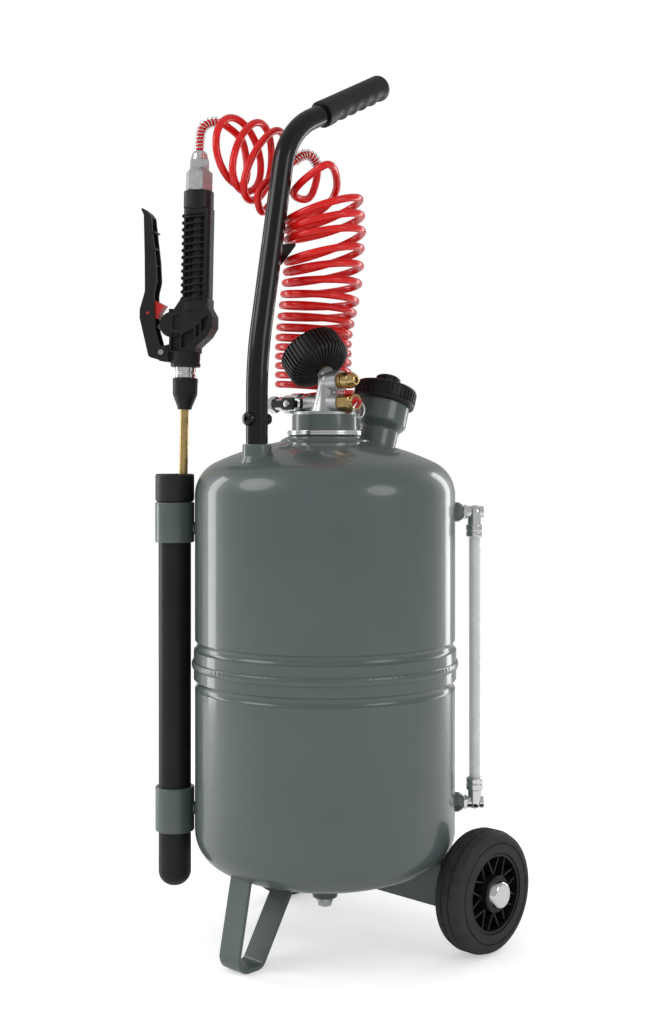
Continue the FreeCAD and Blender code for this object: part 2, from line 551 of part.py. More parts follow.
def make_holder(solid_tank):
    """Lance holder: rings welded to the tank, a closed tube and its soft mouth collar."""
    tube_shape = turned([(0, HOLDER_LOW), (HOLDER_OUT, HOLDER_LOW, HOLDER_OUT - 1.0),
                         (HOLDER_OUT, HOLDER_HIGH - 2.0), (HOLDER_IN, HOLDER_HIGH - 2.0),
                         (HOLDER_IN, HOLDER_LOW + 2.0, HOLDER_IN - 1.0), (0, HOLDER_LOW + 2.0)])
    mouth = turned([(HOLDER_OUT + FIT, 460.0), (18.8, 460.0), (RING_OUT - 0.2, 462.0, 1.0),
                    (RING_OUT - 0.2, HOLDER_HIGH, 2.0), (14.2, HOLDER_HIGH, 1.5),
                    (14.2, HOLDER_HIGH - 1.9), (HOLDER_OUT + FIT, HOLDER_HIGH - 1.9)])
    rings = []
    reach = HOLDER_RADIUS - TANK_RADIUS + 3.0
    for low, high, weld_z in ((417.5, 459.5, 432.0), (116.0, 162.0, 139.0)):
        ring = turned([(HOLDER_OUT + FIT, low), (RING_OUT, low, 1.0), (RING_OUT, high, 1.0),
                       (HOLDER_OUT + FIT, high)])
        blob = rod(6.5, V(-reach, 0, weld_z), V(-HOLDER_OUT - 1.0, 0, weld_z))
        blob.translate(V(HOLDER_RADIUS, 0, 0))
        blob = blob.cut(solid_tank)
        blob.translate(V(-HOLDER_RADIUS, 0, 0))
        rings.append(joined([ring, blob.cut(rod(HOLDER_OUT + FIT, V(0, 0, low), V(0, 0, high)))]))
    shapes = {"holder_tube": tube_shape, "holder_collar": mouth, "holder_rings": Part.makeCompound(rings)}
    placed = {}
    for name, shape in shapes.items():
        shape.translate(V(HOLDER_RADIUS, 0, 0))
        placed[name] = swung(shape, SIDE_AZIMUTH + 180.0)
    return placed


def bent_path(corners, bends):
    """Wire in the plane x = 0 through the corners, with an arc of the given radius at each bend."""
    edges = []
    start = V(0, corners[0][0], corners[0][1])
    for index, radius in enumerate(bends):
        corner = V(0, corners[index + 1][0], corners[index + 1][1])
        after = V(0, corners[index + 2][0], corners[index + 2][1])
        back = (start - corner).normalize()
        ahead = (after - corner).normalize()
        half = back.getAngle(ahead) / 2
        reach = radius / math.tan(half)
        middle = corner + (back + ahead).normalize() * (radius / math.sin(half) - radius)
        edges.append(Part.LineSegment(start, corner + back * reach).toShape())
        edges.append(Part.Arc(corner + back * reach, middle, corner + ahead * reach).toShape())
        start = corner + ahead * reach
    edges.append(Part.LineSegment(start, V(0, corners[-1][0], corners[-1][1])).toShape())
    return Part.Wire(edges)


def swept(path, radius):
    """Round bar along a wire that starts upwards."""
    start = path.Edges[0].firstVertex().Point
    ring = Part.Wire(Part.makeCircle(radius, start, path.Edges[0].tangentAt(path.Edges[0].FirstParameter)))
    return path.makePipeShell([ring], True, False)


def make_handle(solid_tank):
    """Bent push handle with its socket stub, bolt, moulded grip and hose hook."""
    path = bent_path(HANDLE_CORNERS, HANDLE_BENDS)
    bar = swept(path, HANDLE_TUBE).cut(swept(path, HANDLE_TUBE - HANDLE_WALL))
    bolt_z = 545.0
    drill = rod(3.1, V(0, HANDLE_Y - 20.0, bolt_z), V(0, HANDLE_Y + 20.0, bolt_z))
    stub = turned([(0, 490.0), (14.0, 490.0), (14.0, 519.8, 1.5), (HANDLE_TUBE - HANDLE_WALL - FIT, 519.8),
                   (HANDLE_TUBE - HANDLE_WALL - FIT, 562.0, 1.5), (0, 562.0)])
    stub.translate(V(0, HANDLE_Y, 0))
    bolt = joined([rod(3.0, V(0, HANDLE_Y - 11.2, bolt_z), V(0, HANDLE_Y + 15.0, bolt_z)),
                   aimed(turned([(2.0, 0), (7.4, 0), (6.4, 3.6, 2.4), (2.5, 4.4), (2.0, 2.0)]),
                         V(0, HANDLE_Y - 11.15, bolt_z), V(0, -1, 0)),
                   rod(2.2, V(0, HANDLE_Y - 13.2, bolt_z), V(0, HANDLE_Y - 11.0, bolt_z)),
                   aimed(hexagon(10.0, 0, 5.0), V(0, HANDLE_Y + 11.15, bolt_z), Y_AXIS)])
    end = V(0, HANDLE_CORNERS[-1][0], HANDLE_CORNERS[-1][1])
    corner = V(0, HANDLE_CORNERS[-2][0], HANDLE_CORNERS[-2][1])
    way = (end - corner).normalize()
    hook_z = 700.0
    hook = Part.Face(rounded_wire([(-72.0, hook_z), (-66.0, hook_z + 2.0, 2.0), (-46.0, 723.0, 1.5),
                                   (-45.5, 726.0, 1.0), (-72.0, 722.0)],
                                  lambda point: V(-2.5, point.x, point.y))).extrude(V(5.0, 0, 0))
    hook = hook.cut(swept(path, HANDLE_TUBE))
    return {"handle_tube": joined([bar.cut(drill), hook]), "handle_socket": stub.cut(solid_tank).cut(drill),
            "handle_bolt": bolt, "handle_grip": make_grip(end, way)}


def make_grip(end, way):
    """Moulded grip: a closed sleeve with finger scallops underneath and a collar."""
    length = GRIP_LENGTH
    sleeve = turned([(HANDLE_TUBE + FIT, 0), (GRIP_RADIUS + 0.6, 0, 1.0), (GRIP_RADIUS + 0.6, 8.0, 1.0),
                     (GRIP_RADIUS, 9.0), (GRIP_RADIUS, length, 8.0), (0, length), (0, length - 4.0),
                     (HANDLE_TUBE + FIT, length - 4.0)])
    for k in range(5):
        centre = 20.0 + 17.0 * k
        sleeve = sleeve.cut(Part.makeCylinder(8.0, 40.0, V(GRIP_RADIUS + 5.6, -20.0, centre), Y_AXIS))
    start = end - way * (length - 4.2)
    return aimed(sleeve, start, way, X_AXIS)


def make_foot(solid_tank):
    """Bent strap foot, a V of flat bar welded under the tank."""
    centre = [(-118.5, 92.0), (-137.0, 2.0, 13.0), (-103.5, 2.0, 11.0), (-60.0, 72.0)]
    half = STRAP_THICK / 2
    outline = []
    for side in (1, -1):
        offset = []
        for index, corner in enumerate(centre):
            here = V(corner[0], corner[1], 0)
            ways = []
            if index > 0:
                ways.append((here - V(centre[index - 1][0], centre[index - 1][1], 0)).normalize())
            if index < len(centre) - 1:
                ways.append((V(centre[index + 1][0], centre[index + 1][1], 0) - here).normalize())
            normals = [V(way.y, -way.x, 0) for way in ways]
            mitre = normals[0] + normals[-1]
            mitre = mitre * (2.0 / mitre.dot(mitre)) if len(normals) > 1 else normals[0]
            spot = here + mitre * (half * side)
            entry = [spot.x, spot.y]
            if len(corner) > 2:
                entry.append(corner[2] + half * side)
            offset.append(tuple(entry))
        outline += offset if side == 1 else offset[::-1]
    face = Part.Face(rounded_wire(outline, lambda point: V(-STRAP_WIDTH / 2, point.x, point.y)))
    return {"front_foot": face.extrude(V(STRAP_WIDTH, 0, 0)).cut(solid_tank)}


def make_bracket(solid_tank):
    """Folded sheet bracket under the tank that carries the axle, and the axle itself."""
    sheet = BRACKET_SHEET
    web = Part.makeBox(2 * BRACKET_HALF, sheet, 110.0, V(-BRACKET_HALF, BRACKET_Y, BRACKET_LOW))
    web = web.common(slab([(-BRACKET_HALF, BRACKET_LOW), (BRACKET_HALF, BRACKET_LOW),
                           (BRACKET_HALF, 112.0, 4.0), (60.0, 90.0), (-60.0, 90.0),
                           (-BRACKET_HALF, 112.0, 4.0)], 0.0, 100.0))
    lip = Part.makeBox(2 * BRACKET_HALF, 16.0, sheet, V(-BRACKET_HALF, BRACKET_Y, BRACKET_LOW))
    cheeks = []
    for side in (-1, 1):
        cheek = Part.Face(rounded_wire([(BRACKET_Y, BRACKET_LOW), (98.0, BRACKET_LOW, 8.0),
                                        (106.0, 62.5, 10.0), (98.0, 82.0, 8.0), (BRACKET_Y, 112.0)],
                                       lambda point: V(0, point.x, point.y)))
        cheek = cheek.extrude(V(sheet, 0, 0))
        cheek.translate(V(BRACKET_HALF - sheet if side > 0 else -BRACKET_HALF, 0, 0))
        cheeks.append(cheek)
    bracket = joined([web, lip] + cheeks).cut(solid_tank)
    centre = V(0, WHEEL_Y, WHEEL_RADIUS)
    bracket = bracket.cut(rod(AXLE_RADIUS + FIT, centre - X_AXIS * 120, centre + X_AXIS * 120))
    axle = rod(AXLE_RADIUS, centre - X_AXIS * (HUB_END - 4.5), centre + X_AXIS * (HUB_END - 4.5))
    spacers = [tube(9.5, AXLE_RADIUS + FIT, centre + X_AXIS * (BRACKET_HALF + 0.1) * side,
                    centre + X_AXIS * (WHEEL_INNER - 3.4) * side) for side in (-1, 1)]
    return {"wheel_bracket": bracket, "axle": axle, "wheel_spacers": Part.makeCompound(spacers)}


def make_wheel(side_name, side):
    """One wheel: solid rubber tyre, ribbed plastic centre and hub cap."""
    width = WHEEL_OUTER - WHEEL_INNER
    tyre = turned([(RIM_RADIUS, 0), (54.0, 0), (60.0, 4.0, 4.0), (WHEEL_RADIUS, 11.0, 6.0),
                   (WHEEL_RADIUS, 15.5), (WHEEL_RADIUS - 1.2, 16.2), (WHEEL_RADIUS - 1.2, 17.8),
                   (WHEEL_RADIUS, 18.5), (WHEEL_RADIUS, width - 11.0, 6.0), (60.0, width - 4.0, 4.0),
                   (54.0, width), (51.5, width), (51.0, width - 1.2), (50.0, width - 1.2),
                   (49.5, width), (RIM_RADIUS, width)])
    ring = RIM_RADIUS - FIT
    rim = turned([(AXLE_RADIUS + FIT, -3.0), (18.5, -3.0, 1.0), (18.5, 14.0), (ring - 3.5, 14.0), (ring - 3.5, 1.0),
                  (ring, 1.0), (ring, width - 1.0, 1.0), (ring - 3.5, width - 1.0), (ring - 3.5, 18.0),
                  (18.5, 18.0), (18.5, width + 2.0, 1.0), (AXLE_RADIUS + FIT, width + 2.0)])
    ribs = []
    for k in range(8):
        for lean in (-1, 1):
            foot = V(19.0, 0, 0)
            foot = swung(Part.Vertex(foot), 45.0 * k).Point
            head = swung(Part.Vertex(V(ring - 3.0, 0, 0)), 45.0 * k + 15.0 * lean).Point
            way = head - foot
            plate = Part.makeBox(way.Length, 1.6, width - 6.0, V(0, -0.8, 2.5))
            plate.rotate(V(0, 0, 0), Z_AXIS, math.degrees(math.atan2(way.y, way.x)))
            plate.translate(foot)
            ribs.append(plate)
    inside = tube(ring - 2.0, 18.0, V(0, 0, 2.0), V(0, 0, width - 3.0))
    web = joined(ribs).common(inside)
    rim = rim.fuse(web)
    cap = turned([(0, 43.0), (12.5, 43.0, 2.0), (14.5, width + 2.1), (11.0, width + 2.1),
                  (11.0, 40.0, 1.0), (0, 40.0)])
    centre = V(WHEEL_INNER * side, WHEEL_Y, WHEEL_RADIUS)
    shapes = {"tyre": tyre, "wheel_rim": rim, "hub_cap": cap}
    return {name + "_" + side_name: aimed(shape, centre, X_AXIS * side) for name, shape in shapes.items()}


def gun_outline():
    """Side outline of the moulded head, lever side at negative u."""
    return [(-15.0, 616.0), (14.0, 616.0), (14.0, 621.5, 2.0), (26.0, 632.5, 3.0), (31.5, 642.0, 5.0),
            (31.5, 654.0, 5.0), (26.0, 663.0, 4.0), (26.0, 672.0), (-3.0, 672.0), (-12.0, 658.5, 3.0),
            (-15.0, 656.0)]


def make_gun():
    """Spray gun: two moulded halves, core tube, collars, trigger, latch, pushrod and fasteners."""
    collar = turned([(9.0, 601.0), (15.6, 601.0, 1.0), (15.6, 604.5), (14.9, 605.5), (15.4, 616.5), (9.0, 616.5)])
    head = slab(gun_outline(), -GUN_HALF + 1.5, GUN_HALF - 1.5)
    pockets = [
        [(-12.6, 617.5), (-3.6, 617.5), (-3.6, 636.0), (-12.6, 636.0)],
        [(-1.6, 620.0), (12.0, 629.5), (12.0, 641.0), (-1.6, 634.0)],
        [(14.0, 631.5), (17.6, 634.0), (17.6, 646.0), (14.0, 644.0)],
        [(19.6, 636.0), (24.5, 641.0), (27.0, 655.0), (19.6, 650.0)],
        [(-11.5, 640.0), (-3.6, 640.0), (-3.6, 654.0), (-11.5, 654.0)]]
    for corners in pockets:
        rounded = [(u, z, 1.0) for u, z in corners]
        head = head.cut(slab(rounded, -GUN_HALF, -GUN_HALF + 6.0))
        head = head.cut(slab(rounded, GUN_HALF - 6.0, GUN_HALF))
    grip = flat_slab([(GRIP_U - 15.0, -GUN_HALF, 9.0), (GRIP_U + 15.0, -GUN_HALF, 9.0),
                      (GRIP_U + 15.0, GUN_HALF, 9.0), (GRIP_U - 15.0, GUN_HALF, 9.0)], 660.0, 766.0)
    ribs = []
    window = [(GRIP_U - 11.0, 668.0, 2.0), (GRIP_U + 9.5, 670.0, 2.0), (GRIP_U + 9.5, 761.0, 2.0),
              (GRIP_U - 11.0, 759.0, 2.0)]
    for k in range(13):
        low = 670.5 + 7.1 * k
        rib = slab([(GRIP_U - 12.0, low), (GRIP_U + 11.0, low + 2.6), (GRIP_U + 11.0, low + 4.4),
                    (GRIP_U - 12.0, low + 1.8)], -GUN_HALF, GUN_HALF)
        ribs.append(rib.common(grip))
    hollow = slab(window, -GUN_HALF - 1.0, -GUN_HALF + 6.5).fuse(slab(window, GUN_HALF - 6.5, GUN_HALF + 1.0))
    bumps = [rod(2.0, V(GRIP_U - 14.6, -7.0, 672.0 + 7.2 * k), V(GRIP_U - 14.6, 7.0, 672.0 + 7.2 * k))
             for k in range(13)]
    top = turned([(9.0, 765.5), (14.4, 765.5), (15.7, 767.0, 1.0), (15.7, 785.0, 1.5), (9.0, 785.0)])
    top.translate(V(GRIP_U - 0.8, 0, 0))
    valve = rod(13.2, V(-13.4, -9.5, 645.0), V(-13.4, 9.5, 645.0))
    valve = valve.fuse(rod(2.6, V(-17.0, 0, 655.0), V(-17.0, 0, 662.0)))
    lug = slab([(-29.0, 607.0, 4.0), (-29.0, 621.0, 4.0), (-12.0, 626.0), (-12.0, 606.0)], -6.2, 6.2)
    whole = joined([grip.cut(hollow), collar, head, top, valve, lug] + bumps)
    whole = joined([whole] + ribs)
    whole = whole.cut(rod(8.8 + FIT, V(GRIP_U, 0, 650.0), V(GRIP_U, 0, 790.0)))
    whole = whole.cut(rod(9.0, V(0, 0, 600.0), V(0, 0, 618.0)))
    whole = whole.cut(rod(2.0 + FIT, V(PIVOT_U, -12.0, PIVOT_Z), V(PIVOT_U, 12.0, PIVOT_Z)))
    whole = whole.cut(rod(2.0, V(-30.0, 0, ROD_Z), V(-12.0, 0, ROD_Z)))
    near = whole.common(Part.makeBox(120.0, 30.0, 220.0, V(-60.0, -30.0, 590.0)))
    far = whole.common(Part.makeBox(120.0, 30.0, 220.0, V(-60.0, 0.02, 590.0)))
    core = joined([rod(8.8, V(0.8, 0, 650.5), V(0.8, 0, 786.0)), hexagon(25.0, 785.1, 805.0),
                   turned([(0, 805.0), (12.0, 805.0), (10.0, 808.0), (0, 808.0)])])
    core = core.cut(rod(4.0, V(0, 0, 650.0), V(0, 0, 810.0)))
    core.translate(V(GRIP_U - 0.8, 0, 0))
    nut = joined([hexagon(18.0, 808.1, 818.0),
                  turned([(0, 818.0), (9.4, 818.0), (8.0, 824.0, 3.0), (5.6, 827.0), (0, 827.0)])])
    nut = nut.cut(rod(4.1, V(0, 0, 800.0), V(0, 0, 830.0)))
    nut.translate(V(GRIP_U - 0.8, 0, 0))
    shapes = {"gun_shell_near": near, "gun_shell_far": far, "gun_inlet": core, "gun_hose_nut": nut}
    shapes.update(make_trigger())
    shapes.update(make_lance())
    return {name: gun_frame(shape) for name, shape in shapes.items()}


def make_trigger():
    """Channel-section trigger on its pin, the red latch in it and the valve pushrod."""
    side = [(-16.0, 605.0, 2.0), (-16.5, 620.0, 2.0), (-26.5, 623.5, 3.0), (-31.5, 640.0, 20.0),
            (-33.5, 677.0, 20.0), (-30.5, 690.0, 20.0), (-32.0, 711.0), (-38.5, 758.0, 4.0),
            (-42.0, 762.5, 3.0), (-48.5, 767.5, 0.8), (-49.5, 766.0, 0.8), (-46.5, 760.0, 4.0),
            (-44.5, 715.0), (-43.5, 680.0, 15.0), (-48.8, 661.0, 8.0), (-48.8, 652.0, 8.0),
            (-38.0, 611.0, 5.0)]
    half = 9.0
    trigger = slab(side, -half, half)
    channel = [(-15.0, 600.0), (-15.0, 625.0), (-22.0, 640.0), (-24.0, 700.0), (-30.0, 757.0),
               (-40.5, 757.0), (-42.0, 715.0), (-41.0, 680.0, 15.0), (-46.3, 661.0, 8.0),
               (-46.3, 652.0, 8.0), (-35.5, 611.0, 4.0), (-30.0, 600.0)]
    trigger = trigger.cut(slab(channel, -half + 2.0, half - 2.0))
    for corner in (690.0, 707.0, 724.0, 741.0):
        rib = slab([(-43.0, corner), (-33.5, corner), (-33.8, corner + 1.6), (-43.0, corner + 1.6)],
                   -half + 0.5, half - 0.5)
        trigger = trigger.fuse(rib)
    pin_hole = rod(2.0 + FIT, V(PIVOT_U, -12.0, PIVOT_Z), V(PIVOT_U, 12.0, PIVOT_Z))
    latch_hole = rod(1.5 + FIT, V(LATCH_U, -12.0, LATCH_Z), V(LATCH_U, 12.0, LATCH_Z))
    trigger = trigger.removeSplitter().cut(pin_hole).cut(latch_hole)
    pin = joined([rod(2.0, V(PIVOT_U, -9.2, PIVOT_Z), V(PIVOT_U, 9.2, PIVOT_Z)),
                  rod(2.9, V(PIVOT_U, -9.9, PIVOT_Z), V(PIVOT_U, -9.15, PIVOT_Z)),
                  rod(2.9, V(PIVOT_U, 9.15, PIVOT_Z), V(PIVOT_U, 9.9, PIVOT_Z))])
    latch = slab([(-42.5, 654.5, 2.0), (-33.0, 651.6, 1.0), (-29.5, 651.3, 1.0), (-27.2, 658.5, 2.0),
                  (-22.6, 665.2, 0.5), (-35.6, 671.4, 1.5), (-39.4, 664.0, 2.0), (-43.0, 660.0, 2.0)],
                 -6.2, 6.2)
    latch = joined([latch, rod(1.5, V(LATCH_U, -9.3, LATCH_Z), V(LATCH_U, 9.3, LATCH_Z))])
    push = joined([rod(1.6, V(ROD_END, 0, ROD_Z), V(-17.5, 0, ROD_Z)),
                   rod(2.6, V(-30.4, 0, ROD_Z), V(-29.6, 0, ROD_Z))])
    return {"gun_trigger": trigger, "trigger_pin": pin, "trigger_latch": latch,
            "valve_pushrod": push}


def make_lance():
    """Brass lance tube with its nozzle, black lance nut and chromed ring."""
    ring = turned([(4.6, 589.6), (10.6, 589.6, 0.6), (10.6, 593.5), (9.6, 594.0), (9.6, 595.5),
                   (10.8, 596.0), (10.8, 600.95, 0.6), (4.6, 600.95)])
    nut = turned([(4.6, 556.5), (7.2, 556.5, 1.0), (8.0, 560.0), (12.8, 572.0, 6.0), (13.3, 589.5, 1.5),
                  (4.6, 589.5)])
    bar = tube(LANCE_RADIUS, 3.0, V(0, 0, LANCE_FOOT + 8.0), V(0, 0, 612.0))
    nozzle = turned([(0.8, LANCE_FOOT), (3.0, LANCE_FOOT), (6.0, LANCE_FOOT + 3.0, 1.0),
                     (6.0, LANCE_FOOT + 14.0, 0.8), (4.6, LANCE_FOOT + 14.0), (4.6, LANCE_FOOT + 7.9),
                     (0.8, LANCE_FOOT + 7.9)])
    return {"lance_ring": ring, "lance_nut": nut, "lance_tube": bar, "lance_nozzle": nozzle}


def seen(right, away, up):
    """Point given by distances to the right, away and up as seen from the front corner."""
    side = math.radians(SIDE_AZIMUTH)
    return V(math.cos(side) * right - math.sin(side) * away, math.sin(side) * right + math.cos(side) * away, up)


def smooth(share):
    """Even blend from 0 to 1."""
    share = min(1.0, max(0.0, share))
    return share * share * (3.0 - 2.0 * share)


def right_height(turn):
    """Height of the right-hand end of a turn: even in the stack, spread in the fan."""
    return RIGHT_START + STACK_PITCH * min(turn, 9) + FAN_PITCH_RIGHT * max(0, turn - 9)


def left_height(turn):
    """Height of the left-hand end of a turn: closer in the fan, with a step over the hook."""
    step = HOOK_STEP if turn >= HOOK_TURN else 0.0
    return LEFT_START + STACK_PITCH * min(turn, 8) + FAN_PITCH_LEFT * max(0, turn - 8) + step


def coil_points():
    """Quarter points of the stack and the fan, four to a turn, wound left-handed."""
    points = []
    for turn in range(COIL_TURNS):
        right = right_height(turn)
        left = left_height(turn)
        following = right_height(turn + 1)
        spread = math.sqrt((2 * COIL_RADIUS) ** 2 - (right - left) ** 2)
        quarters = ((1.0, 0.0, right), (0.5, -1.0, (right + left) / 2), (0.0, 0.0, left),
                    (0.5, 1.0, (left + following) / 2))
        for index, (share, side, up) in enumerate(quarters):
            blend = smooth((turn + index / 4 - FAN_FROM) / FAN_OVER)
            away = STACK_AWAY + (FAN_AWAY - STACK_AWAY) * blend + COIL_RADIUS * side
            edge = STACK_LEFT + (FAN_LEFT - STACK_LEFT) * blend
            points.append(seen(edge + spread * share, away, up))
    return points


def tangent_arc(start, way, end):
    """Edge of the arc that leaves start along way and reaches end."""
    chord = end - start
    across = way - chord * (way.dot(chord) / chord.dot(chord))
    if across.Length < 1e-6:
        return Part.LineSegment(start, end).toShape()
    half = way.getAngle(chord) / 2
    middle = (start + end) * 0.5 + across.normalize() * (chord.Length / 2 * math.tan(half))
    return Part.Arc(start, middle, end).toShape()


def biarcs(points, first_way, last_way):
    """Two tangent arcs between each pair of points; inner directions come from the neighbours."""
    ways = [(points[k + 1] - points[k - 1]).normalize() for k in range(1, len(points) - 1)]
    ways = [first_way] + ways + [last_way]
    edges = []
    for k in range(len(points) - 1):
        chord = points[k + 1] - points[k]
        along = chord.dot(ways[k] + ways[k + 1])
        bend = 2.0 * (1.0 - ways[k].dot(ways[k + 1]))
        reach = chord.dot(chord) / (along + math.sqrt(along ** 2 + bend * chord.dot(chord)))
        meet = (points[k] + points[k + 1] + (ways[k] - ways[k + 1]) * reach) * 0.5
        edges.append(tangent_arc(points[k], ways[k], meet))
        edges.append(tangent_arc(points[k + 1], ways[k + 1] * -1.0, meet))
    return edges


def wound(edges, radius):
    """Round wire or tube swept in one piece along tangent edges."""
    spine = Part.Wire(edges)
    start = spine.OrderedVertexes[0].Point
    ahead = spine.discretize(Number=2000)[1]
    ring = Part.Wire(Part.makeCircle(radius, start, ahead - start))
    return spine.makePipeShell([ring], True, False)


def least_gap(name, edges, radius):
    """Print the least gap between a wound form and itself, measured on points along it."""
    step = radius / 2
    points = Part.Wire(edges).discretize(Distance=step)
    apart = int(GAP_FREE * radius / step)
    least = min((points[a] - points[b]).Length for a in range(len(points))
                for b in range(a + apart, len(points)))
    print(name, "length", round(Part.Wire(edges).Length), "least gap to itself", round(least - 2 * radius, 2))


def guard(edges):
    """Spring wound at an even pitch round the stretch of hose along these edges."""
    spine = Part.Wire(edges)
    turns = round(spine.Length / GUARD_PITCH)
    centres = spine.discretize(Number=4 * turns + 1)
    points = []
    ways = []
    for k, centre in enumerate(centres):
        ahead = (centres[min(k + 1, len(centres) - 1)] - centres[max(k - 1, 0)]).normalize()
        away = seen(0, 1, 0)
        side = (away - ahead * away.dot(ahead)).normalize()
        over = ahead.cross(side)
        turn = k * math.pi / 2
        points.append(centre + (side * math.cos(turn) + over * math.sin(turn)) * GUARD_RADIUS)
        rise = ahead * (GUARD_PITCH / (2 * math.pi * GUARD_RADIUS))
        ways.append((over * math.cos(turn) - side * math.sin(turn) + rise).normalize())
    wire = biarcs(points, ways[0], ways[-1])
    least_gap("hose_guards", wire, GUARD_WIRE)
    return wound(wire, GUARD_WIRE)


def make_hose():
    """Curly hose from the ball valve to the spray gun."""
    start = V(-76.0, 0, LOWER_PORT_Z)
    leave = V(-97.0, 0, LOWER_PORT_Z)
    nut_way = gun_frame(Part.Vertex(V(0, 0, 1.0))).Point - gun_frame(Part.Vertex(V(0, 0, 0))).Point
    finish = gun_frame(Part.Vertex(V(GRIP_U - 0.8, 0, 827.6))).Point
    arrive = finish + nut_way * HOSE_STRAIGHT
    points = [leave] + [seen(*spot) for spot in HOSE_TAIL] + coil_points()
    crossing = [2 * (len(points) + place) for place in (GUARD_FROM, GUARD_TO)]
    points += [seen(*spot) for spot in HOSE_TOP + HOSE_LOOPS] + [arrive]
    edges = biarcs(points, V(-1, 0, 0), nut_way * -1.0)
    whole = [Part.LineSegment(start, leave).toShape()] + edges + [Part.LineSegment(arrive, finish).toShape()]
    least_gap("spiral_hose", whole, HOSE_RADIUS)
    bottom = Part.LineSegment(arrive, finish + nut_way * 2.0).toShape()
    guards = [guard(edges[crossing[0]:crossing[1]]), guard(edges[-6:] + [bottom])]
    return {"spiral_hose": wound(whole, HOSE_RADIUS), "hose_guards": Part.makeCompound(guards)}


def main():
    """Build every piece, move it to the footprint origin and write one file per node."""
    os.makedirs("parts", exist_ok=True)
    solid_tank = tank_body()
    shapes = make_tank(solid_tank)
    shapes.update(make_filler(solid_tank))
    shapes.update(make_manifold())
    shapes.update(make_gauge())
    shapes.update(make_sight_gauge(solid_tank))
    shapes.update(make_holder(solid_tank))
    shapes.update(make_handle(solid_tank))
    shapes["upper_shell"] = joined([shapes["upper_shell"], shapes.pop("handle_socket"),
                                    shapes.pop("upper_boss")])
    shapes["lower_shell"] = joined([shapes["lower_shell"], shapes.pop("lower_boss")])
    shapes.update(make_foot(solid_tank))
    shapes.update(make_bracket(solid_tank))
    shapes.update(make_wheel("right", 1))
    shapes.update(make_wheel("left", -1))
    shapes.update(make_gun())
    shapes.update(make_hose())
    for name, shape in sorted(shapes.items()):
        shape.translate(V(0, AXIS_Y, 0))
        state = "" if shape.isValid() else "  NOT VALID"
        print(name, len(shape.Solids), round(shape.Volume), state)
        shape.exportStep("parts/" + name + ".step")


main()
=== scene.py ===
"""Dressed model of a wheeled pressure sprayer cart: grey-green tank, black push handle, red curly
hose, spray gun with its lance, filler cap, gauge, level tube, lance holder and two wheels.

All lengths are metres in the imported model's own frame.  The tank's axis stands at y = AXIS_Y.
"""
import math
import bmesh
import bpy
import numpy as np
from bpy.props import FloatProperty, FloatVectorProperty, IntProperty, PointerProperty
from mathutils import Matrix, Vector


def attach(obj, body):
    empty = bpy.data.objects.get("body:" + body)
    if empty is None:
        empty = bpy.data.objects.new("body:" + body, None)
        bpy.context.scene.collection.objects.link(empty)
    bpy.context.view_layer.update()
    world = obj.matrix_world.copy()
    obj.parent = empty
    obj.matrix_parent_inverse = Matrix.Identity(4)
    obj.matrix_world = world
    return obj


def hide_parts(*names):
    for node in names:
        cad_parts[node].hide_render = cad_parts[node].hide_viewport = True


bl_info = {
    "name": "Wheeled sprayer cart",
    "version": (1, 0, 0),
    "blender": (4, 5, 0),
    "location": "View3D > Sidebar > Sprayer",
    "description": "Dresses the packed sprayer cart with its finished surfaces and materials",
    "category": "Object",
}

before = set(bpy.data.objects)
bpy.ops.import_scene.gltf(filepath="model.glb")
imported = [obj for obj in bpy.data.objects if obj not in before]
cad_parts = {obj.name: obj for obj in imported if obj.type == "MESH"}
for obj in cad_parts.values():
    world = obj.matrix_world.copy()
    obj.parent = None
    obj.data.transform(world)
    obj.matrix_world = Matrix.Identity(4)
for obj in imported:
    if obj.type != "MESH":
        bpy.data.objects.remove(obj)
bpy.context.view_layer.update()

AXIS_Y = -0.0057
SIDE = math.radians(44.0)
TANK_RADIUS = 0.136
SHEET = 0.002
KNUCKLE = 0.038
SEAM_Z = 0.292
HANDLE_Y = -0.098
HANDLE_CORNERS = ((-0.098, 0.520), (-0.098, 0.604), (-0.0555, 0.8404), (0.086, 0.9096))
HANDLE_BENDS = (0.400, 0.076)
GRIP_LENGTH = 0.106
GRIP_ROUND = 0.0985
WHEEL_Y = 0.088
WHEEL_Z = 0.0625
WHEEL_INNER = 0.123
WHEEL_WIDTH = 0.034
INLET_BARE_Z = 0.784
LEVEL_TURN, LEVEL_REACH = 44.0, 0.157
HOLDER_TURN, HOLDER_REACH = 224.0, 0.1575
FILLER_LEAN = math.radians(17.5)
FILLER_AWAY = 0.0766
WORLD_LIGHT, WORLD_REFLECTED = 0.64, 0.42
CAMERA_AWAY, CAMERA_Z = 1.5, 0.514
FOCAL_PIXELS, FRAME_PIXELS = 1430.0, 1024.0
FLOOR_LIFT = 0.45


# Sizes and colours that a user would change

def length(name, text, default):
    """Setting for a length in metres."""
    return FloatProperty(name=name, description=text, default=default, subtype="DISTANCE", unit="LENGTH")


def paint(name, text, default):
    """Setting for a linear colour."""
    return FloatVectorProperty(name=name, description=text, default=default, subtype="COLOR")


class CartSizes(bpy.types.PropertyGroup):
    """Sizes of the finished pieces."""
    hose_diameter: length("Hose diameter", "Outside diameter of the curly hose", 0.0078)
    coil_radius: length("Coil radius", "Radius of the hose's turns at the tube's middle", 0.039)
    guard_pitch: length("Guard pitch", "Distance between the turns of the spring guards", 0.0036)
    handle_diameter: length("Handle diameter", "Outside diameter of the push handle's tube", 0.022)
    round_steps: IntProperty(name="Steps round", description="Faces round the tank and the wheels",
                             default=192, min=32, max=512)


